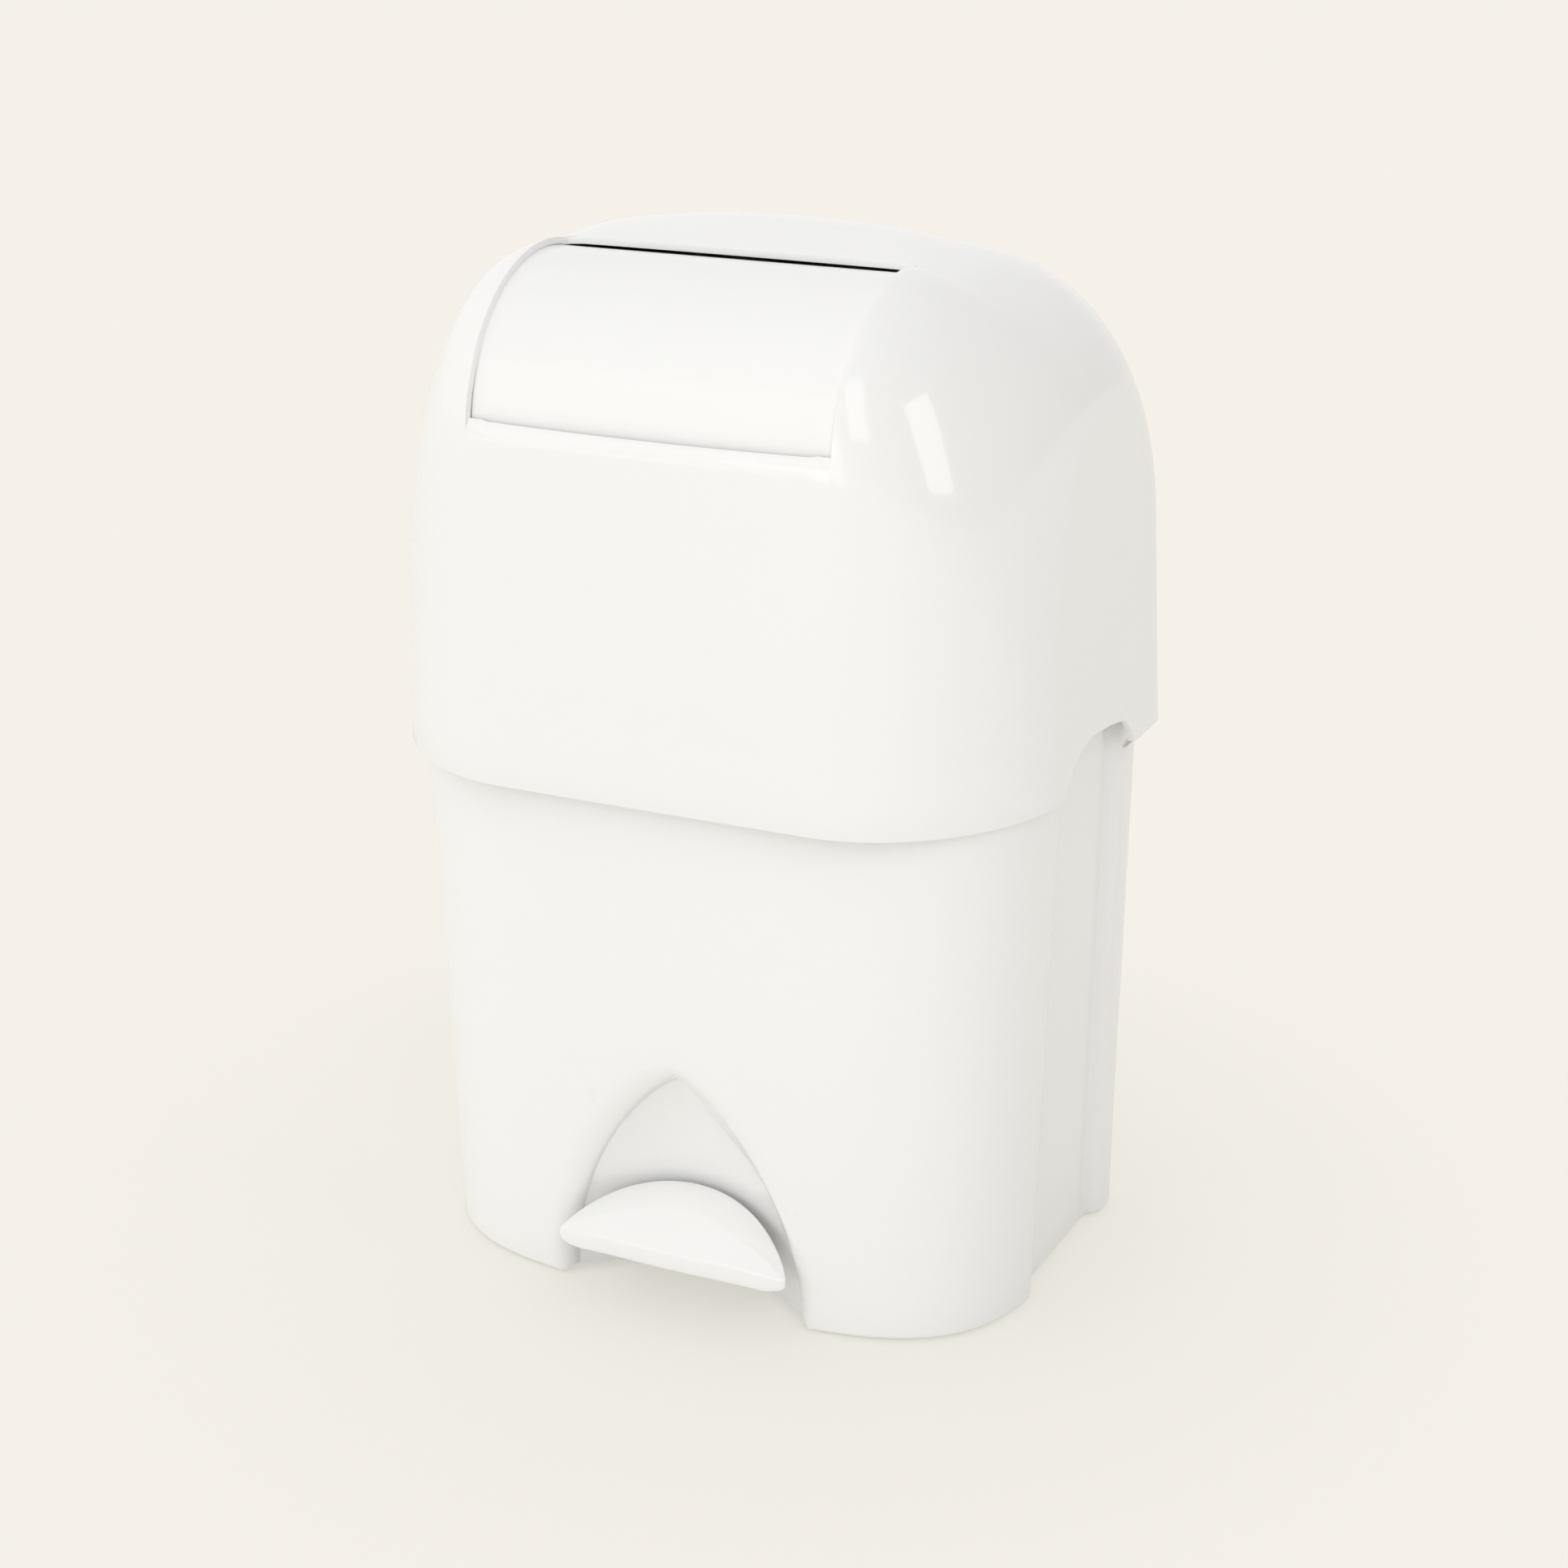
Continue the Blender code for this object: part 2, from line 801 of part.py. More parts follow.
def make_bin_body():
    """The lower bin: tapering walls, floor, toe niche, posts, ribs, bosses and knuckles."""
    soft = bin_edge_round
    low = foot_proud
    rings = [
        at_height(bin_outline(low, soft), low),
        at_height(bin_outline(low, soft * 0.35), low + soft * 0.3),
        at_height(bin_outline(low + soft), low + soft),
        at_height(bin_outline(ledge_z), ledge_z),
        at_height(bin_outline(bin_top_z), bin_top_z),
    ]
    body = add_part("bin_body", loft_mesh("bin_body", rings), white_plastic)
    solidify(body, bin_wall)

    top = floor_z + floor_thick
    slab = [at_height(bin_outline(floor_z, bin_wall / 2.0), floor_z),
            at_height(bin_outline(top, bin_wall / 2.0), top)]
    join(body, loft_mesh("bin_floor", slab, True, True, True))

    for tag, x, y in foot_places():
        join(body, bar_mesh("post_" + tag, (x, y, low), (x, y, top), post_radius))
        cut(body, bar_mesh("socket_" + tag, (x, y, -cut_over),
                           (x, y, low + plug_depth + fit_gap), plug_radius + fit_gap))
    wide = axle_radius + fit_gap
    for tag, side in SIDES:
        rib = box_mesh("axle_rib_" + tag, (rib_x, axle_y - rib_half_y, rib_bottom_z),
                       (rib_x + rib_thick, axle_y + rib_half_y, floor_z + floor_thick / 2.0))
        join(body, side_mesh(rib, side))
        slot = box_mesh("axle_slot_" + tag, (rib_x - rib_thick, axle_y - wide, -cut_over),
                        (rib_x + rib_thick * 2.0, axle_y + wide, axle_z))
        cut(body, side_mesh(slot, side))
        hole = bar_mesh("axle_hole_" + tag, (rib_x - rib_thick, axle_y, axle_z),
                        (rib_x + rib_thick * 2.0, axle_y, axle_z), wide, 24)
        cut(body, side_mesh(hole, side))
        x = rib_x + rib_thick / 2.0
        pilot = bar_mesh("saddle_pilot_" + tag, (x, axle_y + saddle_screw_y, -cut_over),
                         (x, axle_y + saddle_screw_y, rib_bottom_z + screw_length), pilot_radius, 8)
        cut(body, side_mesh(pilot, side))
        low_x = hinge_x - knuckle_width / 2.0
        high_x = hinge_x + knuckle_width / 2.0
        web = box_mesh("knuckle_web_" + tag,
                       (low_x, bin_back_top - bin_wall / 2.0, hinge_z - hinge_barrel * 2.5),
                       (high_x, hinge_y + hinge_barrel * 0.6, hinge_z - hinge_barrel * 0.5))
        join(body, side_mesh(web, side))
        barrel = bar_mesh("knuckle_" + tag, (low_x, hinge_y, hinge_z), (high_x, hinge_y, hinge_z),
                          hinge_barrel)
        join(body, side_mesh(barrel, side))
        bore = bar_mesh("knuckle_bore_" + tag, (low_x - hinge_web, hinge_y, hinge_z),
                        (high_x + hinge_web, hinge_y, hinge_z), hinge_pin_radius + fit_gap, 10)
        cut(body, side_mesh(bore, side))
        pillar = box_mesh("pillar_cut_" + tag, (pillar_cut_x, pillar_cut_front_y, ledge_z),
                          (pillar_cut_x + cut_over, pillar_cut_back_y, bin_top_z + cut_over))
        cut(body, side_mesh(pillar, side))

    cut(body, bar_mesh("rod_hole", (rod_x, rod_y, floor_z - cut_over), (rod_x, rod_y, top + cut_over),
                       bush_radius + fit_gap, 24))
    for number, (y, z) in enumerate(guide_screw_places()):
        wall_x = bin_side_x(z, y) - bin_wall / 2.0
        join(body, bar_mesh("guide_boss_%d" % number, (guide_seat_x, y, z), (wall_x, y, z),
                            guide_boss_radius))
    for number, (y, z) in enumerate(guide_screw_places()):
        cut(body, bar_mesh("guide_pilot_%d" % number, (guide_seat_x - bin_wall, y, z),
                           (guide_seat_x + guide_pilot_depth, y, z), pilot_radius, 8))

    outer = [at_height(bin_outline(low, bin_wall / 2.0), low + soft),
             at_height(bin_outline(ledge_z, bin_wall / 2.0), ledge_z - soft)]
    skin = add_cutter("bin_skin", loft_mesh("bin_skin", outer, True, True, True))
    bowl = add_cutter("niche_bowl", niche_mesh("niche_bowl", niche_half + niche_wall,
                                               niche_depth + niche_wall, niche_height + niche_wall))
    join(bowl, niche_mouth_mesh("niche_rim", niche_wall))
    combine(bowl, skin, "INTERSECT")
    combine(body, bowl, "UNION")
    hollow = add_cutter("niche_hollow", niche_mesh("niche_hollow", niche_half, niche_depth, niche_height))
    join(hollow, niche_mouth_mesh("niche_mouth"))
    combine(body, hollow)
    cut(body, box_mesh("lever_gap", (-niche_open_half, -niche_front_y, -cut_over),
                       (niche_open_half, -niche_open_back, niche_open_z)))
    bake(body)


def make_feet():
    """Four rubber feet, each a disc with a plug in its post."""
    neck = foot_proud - fit_gap
    profile = [(0.0, foot_proud + plug_depth),
               (plug_radius, foot_proud + plug_depth),
               (plug_radius, neck),
               (rubber_radius, neck),
               (rubber_radius, neck / 2.0),
               (rubber_radius - rubber_round, 0.0),
               (0.0, 0.0)]
    for tag, x, y in foot_places():
        mesh = turned_mesh("rubber_foot_" + tag, profile, 12, Matrix.Translation((x, y, 0.0)))
        add_part("rubber_foot_" + tag, mesh, rubber)


# Pedal, lever and axle
def pad_outline(scale):
    """The pedal pad's plan, shrunk towards its middle; each point also has its depth share."""
    points = []
    steps = 32
    for step in range(steps):
        angle = 2.0 * math.pi * step / steps
        cosine = math.cos(angle)
        sine = math.sin(angle)
        power = pad_front_power if sine < 0.0 else pad_back_power
        reach = pad_front if sine < 0.0 else pad_back
        deep = math.copysign(abs(sine) ** (2.0 / power), sine)
        wide = math.copysign(abs(cosine) ** (2.0 / power), cosine)
        middle_y = between(pad_mid_y, pad_crown_y, 1.0 - scale)
        points.append((pad_half * wide * scale, middle_y + reach * deep * scale, deep))
    return points


def pad_edge_z(deep):
    """Height of the pad's lower edge at a depth share from -1 (front) to 1 (back)."""
    if deep < 0.0:
        return between(pad_side_z, pad_lip_z, deep * deep)
    return between(pad_side_z, pad_back_z, ease(deep))


def make_pedal(pivot):
    """The pedal pad: a domed tongue with a turned-down skirt and screw bosses."""
    rings = []
    for scale, climb, dome in ((1.0, 0.0, 0.0), (1.0, 0.72, 0.0), (0.985, 0.92, 0.03),
                               (0.955, 1.0, 0.08), (0.78, 1.0, 0.36), (0.45, 1.0, 0.76),
                               (0.05, 1.0, 1.0)):
        ring = []
        for x, y, deep in pad_outline(scale):
            edge = pad_edge_z(deep) + pad_skirt * climb
            ring.append((x, y, between(edge, pad_crown_z, dome)))
        rings.append(ring)
    pad = add_part("pedal", loft_mesh("pedal", rings, True, False, True), white_plastic, pivot)
    solidify(pad, pad_wall)
    for number, (x, y) in enumerate(pad_boss_places()):
        join(pad, bar_mesh("pad_boss_%d" % number, (x, y, lever_plate_z + lever_thick + fit_gap),
                           (x, y, pad_crown_z - pad_wall * 2.7), pad_boss_radius, 10))
        cut(pad, bar_mesh("pad_pilot_%d" % number, (x, y, 0.0),
                          (x, y, lever_plate_z + screw_length + fit_gap), pilot_radius, 8))
    bake(pad)


def pad_boss_places():
    """Plan positions of the pad's two screws."""
    return ((-pad_boss_x, pad_boss_y), (pad_boss_x, pad_boss_y))


def make_lever(pivot):
    """The lever under the pad: plate, barrel on the axle, slanting arm with a rib, and nose."""
    place = Matrix.Translation((0.0, axle_y, axle_z)) @ Matrix.Rotation(-lever_tilt, 4, "X")
    outline = [(rod_x * x, lever_arm * y) for x, y in lever_arm_shares]
    lever = add_part("pedal_lever", plate_mesh("pedal_lever", [outline], lever_thick, place),
                     inner_plastic, pivot)
    join(lever, bar_mesh("lever_barrel", (-lever_barrel_half, axle_y, axle_z),
                         (lever_barrel_half, axle_y, axle_z), lever_barrel))
    join(lever, box_mesh("lever_plate", (-lever_half_front, lever_front_y, lever_plate_z),
                         (lever_half_front, axle_y, lever_plate_z + lever_thick)))
    start = [share * size for share, size in zip(lever_rib_start_shares, (rod_x, lever_arm))]
    end = [share * size for share, size in zip(lever_rib_end_shares, (rod_x, lever_arm))]
    turn = math.atan2(end[1] - start[1], end[0] - start[0])
    length = math.hypot(end[0] - start[0], end[1] - start[1])
    rib = box_mesh("lever_rib", (0.0, -lever_rib_thick / 2.0, -lever_thick / 2.0 - lever_rib_height),
                   (length, lever_rib_thick / 2.0, 0.0))
    rib.transform(place @ Matrix.Translation((*start, 0.0)) @ Matrix.Rotation(turn, 4, "Z"))
    join(lever, rib)
    nose = bar_mesh("lever_nose", (rod_x - lever_nose_half, lever_arm, 0.0),
                    (rod_x + lever_nose_half, lever_arm, 0.0), lever_nose)
    nose.transform(place)
    join(lever, nose)
    cut(lever, bar_mesh("lever_bore", (-lever_barrel_half - cut_over, axle_y, axle_z),
                        (lever_barrel_half + cut_over, axle_y, axle_z), axle_radius + fit_gap))
    for number, (x, y) in enumerate(pad_boss_places()):
        cut(lever, bar_mesh("lever_hole_%d" % number, (x, y, 0.0),
                            (x, y, lever_plate_z + lever_thick * 2.0), pilot_radius, 8))
    bake(lever)


def make_axle_and_saddles():
    """The steel pedal axle and the two saddles that close its slots."""
    axle = bar_mesh("pedal_axle", (-axle_half, axle_y, axle_z), (axle_half, axle_y, axle_z), axle_radius)
    add_part("pedal_axle", axle, bright_steel)
    high = rib_bottom_z - fit_gap
    low = high - saddle_thick
    tongue = axle_radius
    for tag, side in SIDES:
        plate = box_mesh("axle_saddle_" + tag,
                         (rib_x - saddle_side, axle_y - rib_half_y, low),
                         (rib_x + rib_thick + saddle_side, axle_y + rib_half_y, high))
        saddle = add_part("axle_saddle_" + tag, side_mesh(plate, side), inner_plastic)
        key = box_mesh("saddle_key_" + tag, (rib_x + fit_gap, axle_y - tongue, low + saddle_thick / 2.0),
                       (rib_x + rib_thick - fit_gap, axle_y + tongue, axle_z - axle_radius - fit_gap))
        join(saddle, side_mesh(key, side))
        x = side * (rib_x + rib_thick / 2.0)
        y = axle_y + saddle_screw_y
        cut(saddle, bar_mesh("saddle_hole_" + tag, (x, y, 0.0), (x, y, rib_bottom_z + saddle_thick),
                             pilot_radius, 8))
        bake(saddle)


# Push rod and what guides it
def guide_screw_places():
    """The y and z of the two screws of the upper rod guide."""
    height = guide_z + guide_screw_rise
    return ((rod_y - guide_screw_y, height), (rod_y + guide_screw_y, height))


def make_push_rod(pivot):
    """The push rod with its foot, its cap and the spring's collar."""
    place = Matrix.Translation((rod_x, rod_y, 0.0))
    rod_top = rod_head_z - cap_top - fit_gap
    foot_top = rod_foot_z + rod_foot_thick
    profile = [(0.0, rod_top), (rod_radius, rod_top), (rod_radius, foot_top),
               (rod_foot_radius, foot_top), (rod_foot_radius, rod_foot_z), (0.0, rod_foot_z)]
    add_part("push_rod", turned_mesh("push_rod", profile, 14, place), bright_steel, pivot)
    bore = rod_radius + fit_gap
    low = rod_head_z - cap_height
    profile = [(0.0, rod_head_z), (cap_radius - rubber_round, rod_head_z),
               (cap_radius, rod_head_z - rubber_round), (cap_radius, low), (bore, low),
               (bore, rod_top + fit_gap), (0.0, rod_top + fit_gap)]
    add_part("rod_cap", turned_mesh("rod_cap", profile, 14, place), inner_plastic, pivot)
    profile = [(bore, collar_z + collar_thick), (collar_radius, collar_z + collar_thick),
               (collar_radius, collar_z), (bore, collar_z)]
    add_part("rod_collar", turned_mesh("rod_collar", profile, 14, place), inner_plastic, pivot)


def make_rod_guides():
    """The bush in the bin's floor and the bracket higher up."""
    place = Matrix.Translation((rod_x, rod_y, 0.0))
    bore = rod_radius + fit_gap
    floor_top = floor_z + floor_thick + fit_gap
    profile = [(bore, floor_top + bush_flange_thick), (bush_flange, floor_top + bush_flange_thick),
               (bush_flange, floor_top), (bush_radius, floor_top),
               (bush_radius, floor_z - bush_below), (bore, floor_z - bush_below)]
    add_part("rod_bush", turned_mesh("rod_bush", profile, 16, place), inner_plastic)

    seat = guide_seat_x - fit_gap
    hole = circle((rod_x, rod_y), bore, 14)
    shelf = rounded_box((guide_inner_x, rod_y - guide_half_y), (seat, rod_y + guide_half_y),
                        guide_thick)
    guide = add_part("rod_guide", lying_plate_mesh("rod_guide", [shelf, hole], guide_z, guide_thick),
                     inner_plastic)
    join(guide, box_mesh("guide_flange",
                         (seat - guide_thick, rod_y - guide_half_y, guide_z),
                         (seat, rod_y + guide_half_y, guide_z + guide_flange_height)))
    outline = [(seat - guide_thick / 2.0, guide_z + guide_thick / 2.0),
               (seat - guide_thick / 2.0, guide_z + guide_gusset),
               (seat - guide_gusset, guide_z + guide_thick / 2.0)]
    for number, step in enumerate((-1.0, 1.0)):
        y = rod_y + step * (guide_half_y - guide_thick / 4.0)
        join(guide, facing_plate_mesh("guide_gusset_%d" % number, [outline], y, guide_thick / 2.0))
    for number, (y, z) in enumerate(guide_screw_places()):
        cut(guide, bar_mesh("guide_hole_%d" % number, (seat - guide_thick * 2.0, y, z),
                            (seat + guide_thick, y, z), pilot_radius, 8))
    bake(guide)


def make_spring(pivot):
    """The return spring round the push rod, one unbroken coil of wire."""
    low = collar_z + collar_thick + spring_wire + fit_gap
    high = guide_z - spring_wire - fit_gap
    middle_pitch = (high - low - 2.0 * spring_end_pitch) / (spring_turns - 2.0)
    steps = 9
    points = []
    for step in range(steps * spring_turns + 1):
        turn = step / steps
        if turn <= 1.0:
            height = low + spring_end_pitch * turn
        elif turn <= spring_turns - 1.0:
            height = low + spring_end_pitch + middle_pitch * (turn - 1.0)
        else:
            height = high - spring_end_pitch * (spring_turns - turn)
        angle = 2.0 * math.pi * turn
        points.append(Vector((rod_x + spring_radius * math.cos(angle),
                              rod_y + spring_radius * math.sin(angle), height)))
    least = min((first - second).length for index, first in enumerate(points)
                for second in points[index + steps // 2:])
    print("return_spring least gap to itself: %.2f mm" % (1000.0 * (least - 2.0 * spring_wire)))
    curve = bpy.data.curves.new("return_spring", "CURVE")
    curve.dimensions = "3D"
    curve.bevel_depth = spring_wire
    curve.bevel_resolution = 2
    curve.use_fill_caps = True
    spline = curve.splines.new("POLY")
    spline.points.add(len(points) - 1)
    for point, place in zip(spline.points, points):
        point.co = (*place, 1.0)
    carrier = bpy.data.objects.new("return_spring", curve)
    cutters.objects.link(carrier)
    mesh = evaluated_mesh(carrier)
    round_shading(mesh, 60.0)
    add_part("return_spring", mesh, bright_steel, pivot)


def make_rod_cover():
    """The channel that keeps the bag off the rod and its spring."""
    rings = []
    for height in (floor_z + floor_thick + fit_gap, between(floor_z, cover_top_z, 0.5), cover_top_z):
        front_y = rod_y - cover_half_y
        back_y = rod_y + cover_half_y
        front_x = bin_side_x(height, front_y) - bin_wall - cover_wall_gap
        back_x = bin_side_x(height, back_y) - bin_wall - cover_wall_gap
        corner = cover_wall * 2.0
        outline = [(front_x, front_y), (front_x, front_y + cover_wall)]
        outline += reversed(arc((cover_inner_x + corner, front_y + corner), corner - cover_wall,
                                180.0, 270.0, 3))
        outline += reversed(arc((cover_inner_x + corner, back_y - corner), corner - cover_wall,
                                90.0, 180.0, 3))
        outline += [(back_x, back_y - cover_wall), (back_x, back_y)]
        outline += arc((cover_inner_x + corner, back_y - corner), corner, 90.0, 180.0, 3)
        outline += arc((cover_inner_x + corner, front_y + corner), corner, 180.0, 270.0, 3)
        rings.append(at_height(outline, height))
    cover = loft_mesh("rod_cover", rings, True, True, True)
    round_shading(cover)
    add_part("rod_cover", cover, inner_plastic)


def make_bag_ring():
    """The ring that lies on the bin's rim and holds the bag's edge."""
    centre = (0.0, ring_centre_y)
    outer = bin_outline(bin_top_z, ring_edge_inset)
    opening = oval(centre, ring_half_x, ring_half_y, ring_power)
    hole = circle((rod_x, rod_y), ring_rod_hole)
    ring = add_part("bag_ring", lying_plate_mesh("bag_ring", [outer, opening, hole], ring_z, ring_thick),
                    inner_plastic)
    lip = oval(centre, ring_half_x + ring_collar_wall, ring_half_y + ring_collar_wall, ring_power)
    depth = ring_collar_depth + ring_thick / 2.0
    join(ring, lying_plate_mesh("ring_collar", [lip, opening], ring_z - ring_collar_depth, depth))
    inset = bin_wall + ring_skirt_gap
    skirt = [bin_outline(bin_top_z, inset), bin_outline(bin_top_z, inset + ring_skirt_wall)]
    depth = ring_skirt_depth + ring_thick / 2.0
    join(ring, lying_plate_mesh("ring_skirt", skirt, ring_z - ring_skirt_depth, depth))
    bake(ring)


# Hood
def hood_profile():
    """Stations of the hood's side profile, from the front rim over the top to the back rim.

    Each is (y, z, corner reach in x, side y, side z, crown height). The side point is where the
    rounded corner of that station runs out on the hood's flat side.
    """
    stations = []
    steps = 3
    for step in range(steps):
        share = step / steps
        stations.append((-between(hood_front_rim, hood_front_window, share),
                         between(hood_rim_z, drum_z, share),
                         between(corner_x_front, corner_x_top, share),
                         side_front_y, between(hood_rim_z, side_front_z, share), 0.0))
    slit_angle = math.degrees(math.acos((window_slit_y - drum_y) / arc_radius))
    steps = 11
    for step, (y, z) in enumerate(arc((drum_y, drum_z), arc_radius, 180.0, slit_angle, steps)):
        turn = math.pi / 2.0 * side_turn_share * step / steps
        stations.append((y, z, corner_x_top,
                         side_crest_y - (side_crest_y - side_front_y) * math.cos(turn),
                         between(side_front_z, side_crest_z, math.sin(turn)), 0.0))
    steps = 11
    for step in range(steps + 1):
        share = step / steps
        angle = math.pi / 2.0 * share
        wide, high = power_round(angle, back_power)
        stations.append((between(crest_y, hood_back, wide), between(hood_back_z, crest_z, high),
                         between(corner_x_top, corner_x_back, share),
                         between(side_crest_y, side_back_y, math.sin(angle)),
                         between(side_back_z, side_crest_z, math.cos(angle)), crown * high))
    steps = 6
    for step in range(1, steps + 1):
        share = step / steps
        stations.append((hood_back, between(hood_back_z, hood_rim_z, share), corner_x_back,
                         side_back_y, between(side_back_z, hood_rim_z, share), 0.0))
    return stations


def hood_narrow(y, z):
    """How much the hood's width shrinks with height and towards the front."""
    draft = 1.0 - hood_draft_share * (z - hood_rim_z) / (drum_z - hood_rim_z)
    forward = max(0.0, hood_widest_y - y) / (hood_widest_y + hood_front_rim)
    return draft * (1.0 - hood_taper_share * forward)


def hood_point(station, column):
    """A point of the hood's outer surface.

    Columns run from 0 in the middle plane to 1 where the corner starts, to 2 at the side.
    """
    y, z, reach_x, side_y, side_z, lift = station
    start_x = hood_half - reach_x
    x = start_x * min(1.0, column)
    deep = 1.0
    if column > 1.0:
        wide, deep = power_round(math.pi / 2.0 * (column - 1.0), corner_power)
        x = start_x + reach_x * wide
    middle = max(0.0, 1.0 - (x / crown_half) ** 2)
    across = max(0.0, 1.0 - (x / hood_half) ** 2)
    forward = ease((side_front_y - y) / (hood_front_rim + side_front_y))
    y = between(side_y, y, deep) - front_bulge * across * forward
    z = between(side_z, z, deep) + lift * middle
    return (x * hood_narrow(y, z), y, z)


def hood_rows():
    """Half rows of the hood's outer surface, each from the middle plane to the side's middle.

    As many rows lie before the one over the side's middle as after it, so their ends meet.
    """
    stations = hood_profile()
    columns = [0.0, 0.35, 0.7, 1.0] + [1.0 + step / 8.0 for step in range(1, 9)]
    middle_y = (side_front_y + side_back_y) / 2.0
    rows = []
    for index, station in enumerate(stations):
        row = [hood_point(station, column) for column in columns]
        edge_y, edge_z = row[-1][1:]
        climb = 1.0 - abs(2.0 * index / (len(stations) - 1) - 1.0)
        inner_z = between(hood_rim_z, side_middle_z, climb)
        for into in (0.5, 1.0):
            y = between(edge_y, middle_y, into)
            z = between(edge_z, inner_z, into)
            row.append((hood_half * hood_narrow(y, z), y, z))
        rows.append(row)
    return rows


def hood_plan(height, inset):
    """The hood's plan at a height below the arc, moved inwards, as a closed outline."""
    share = (height - hood_rim_z) / (drum_z - hood_rim_z)
    front = (-between(hood_front_rim, hood_front_window, share), height,
             between(corner_x_front, corner_x_top, share), side_front_y, height, 0.0)
    back = (hood_back, height, corner_x_back, side_back_y, height, 0.0)
    columns = [0.0, 0.6, 1.0] + [1.0 + step / 8.0 for step in range(1, 9)]
    half = [hood_point(front, column)[:2] for column in columns]
    half += [hood_point(back, column)[:2] for column in reversed(columns)]
    return inset_outline(mirrored_outline(half), inset)


def boss_places():
    """Plan positions of the two bosses on the right half of the hood."""
    return (("front", boss_front_x, boss_front_y), ("side", boss_side_x, boss_side_y))


def make_hood(pivot):
    """The hood: one moulded shell with the window, notches, bosses and hinge ears."""
    full = [[(-x, y, z) for x, y, z in reversed(row[1:])] + row for row in hood_rows()]
    hood = add_part("hood", loft_mesh("hood", full, closed_rings=False), white_plastic, pivot)
    solidify(hood, hood_wall)

    cut(hood, box_mesh("window", (-window_half, -hood_front_window - cut_over, window_sill_z),
                       (window_half, window_slit_y, drum_z + arc_radius + cut_over)))
    size = window_chamfer * math.sqrt(2.0)
    sill = box_mesh("sill_chamfer", (-window_half, -size, -size), (window_half, size, size))
    sill.transform(Matrix.Translation((0.0, -hood_front_window - front_bulge, window_sill_z))
                   @ Matrix.Rotation(math.radians(45.0), 4, "X"))
    cut(hood, sill)

    slit_angle = math.degrees(math.acos((window_slit_y - drum_y) / arc_radius))
    centre = (drum_y, drum_z)
    band = arc(centre, arc_radius - window_cheek_sink, slit_angle, window_cheek_deg, 11)
    band += arc(centre, arc_radius - window_cheek_depth, window_cheek_deg, slit_angle, 11)
    length = notch_back_y - notch_front_y
    height = notch_top_z - hood_rim_z
    notch = [(notch_front_y + length * along, hood_rim_z + height * up) for along, up in notch_shares]
    foot = tray_z + tray_thick + fit_gap
    for tag, side in SIDES:
        cheek = standing_plate_mesh("window_cheek_" + tag, [band], window_half, window_cheek_thick)
        join(hood, side_mesh(cheek, side))
        grip = standing_plate_mesh("hand_notch_" + tag, [notch], hood_half - cut_over, cut_over * 2.0)
        cut(hood, side_mesh(grip, side))
        for name, x, y in boss_places():
            post = bar_mesh("boss_%s_%s" % (name, tag), (x, y, foot), (x, y, foot + boss_height),
                            boss_radius, 12)
            join(hood, side_mesh(post, side))
            pilot = bar_mesh("boss_pilot_%s_%s" % (name, tag), (x, y, foot - cut_over),
                             (x, y, foot + screw_length), pilot_radius, 8)
            cut(hood, side_mesh(pilot, side))
        for number, step in enumerate((-1.0, 1.0)):
            middle = hinge_x + step * (knuckle_width / 2.0 + fit_gap + ear_width / 2.0)
            low_x = middle - ear_width / 2.0
            high_x = middle + ear_width / 2.0
            web = box_mesh("ear_web_%s_%d" % (tag, number), (low_x, hood_back - hood_wall, hinge_z),
                           (high_x, hood_back - fit_gap, hood_rim_z + hinge_barrel))
            join(hood, side_mesh(web, side))
            ear = bar_mesh("ear_%s_%d" % (tag, number), (low_x, hinge_y, hinge_z),
                           (high_x, hinge_y, hinge_z), hinge_barrel)
            join(hood, side_mesh(ear, side))
            bore = bar_mesh("ear_bore_%s_%d" % (tag, number), (low_x - hinge_web, hinge_y, hinge_z),
                            (high_x + hinge_web, hinge_y, hinge_z), hinge_pin_radius + fit_gap, 10)
            cut(hood, side_mesh(bore, side))
    bake(hood)


def make_hinge_pins():
    """The two headed steel pins of the hood's hinge."""
    inner = hinge_x - knuckle_width / 2.0 - ear_width
    outer = hinge_x + knuckle_width / 2.0 + fit_gap * 2.0 + ear_width
    head = outer + hinge_pin_head_thick
    profile = [(0.0, head), (hinge_pin_head, head), (hinge_pin_head, outer),
               (hinge_pin_radius, outer), (hinge_pin_radius, inner), (0.0, inner)]
    for tag, side in SIDES:
        place = Matrix.Translation((0.0, hinge_y, hinge_z)) @ ACROSS
        mesh = turned_mesh("hinge_pin_" + tag, profile, 10, place)
        add_part("hinge_pin_" + tag, side_mesh(mesh, side), bright_steel)


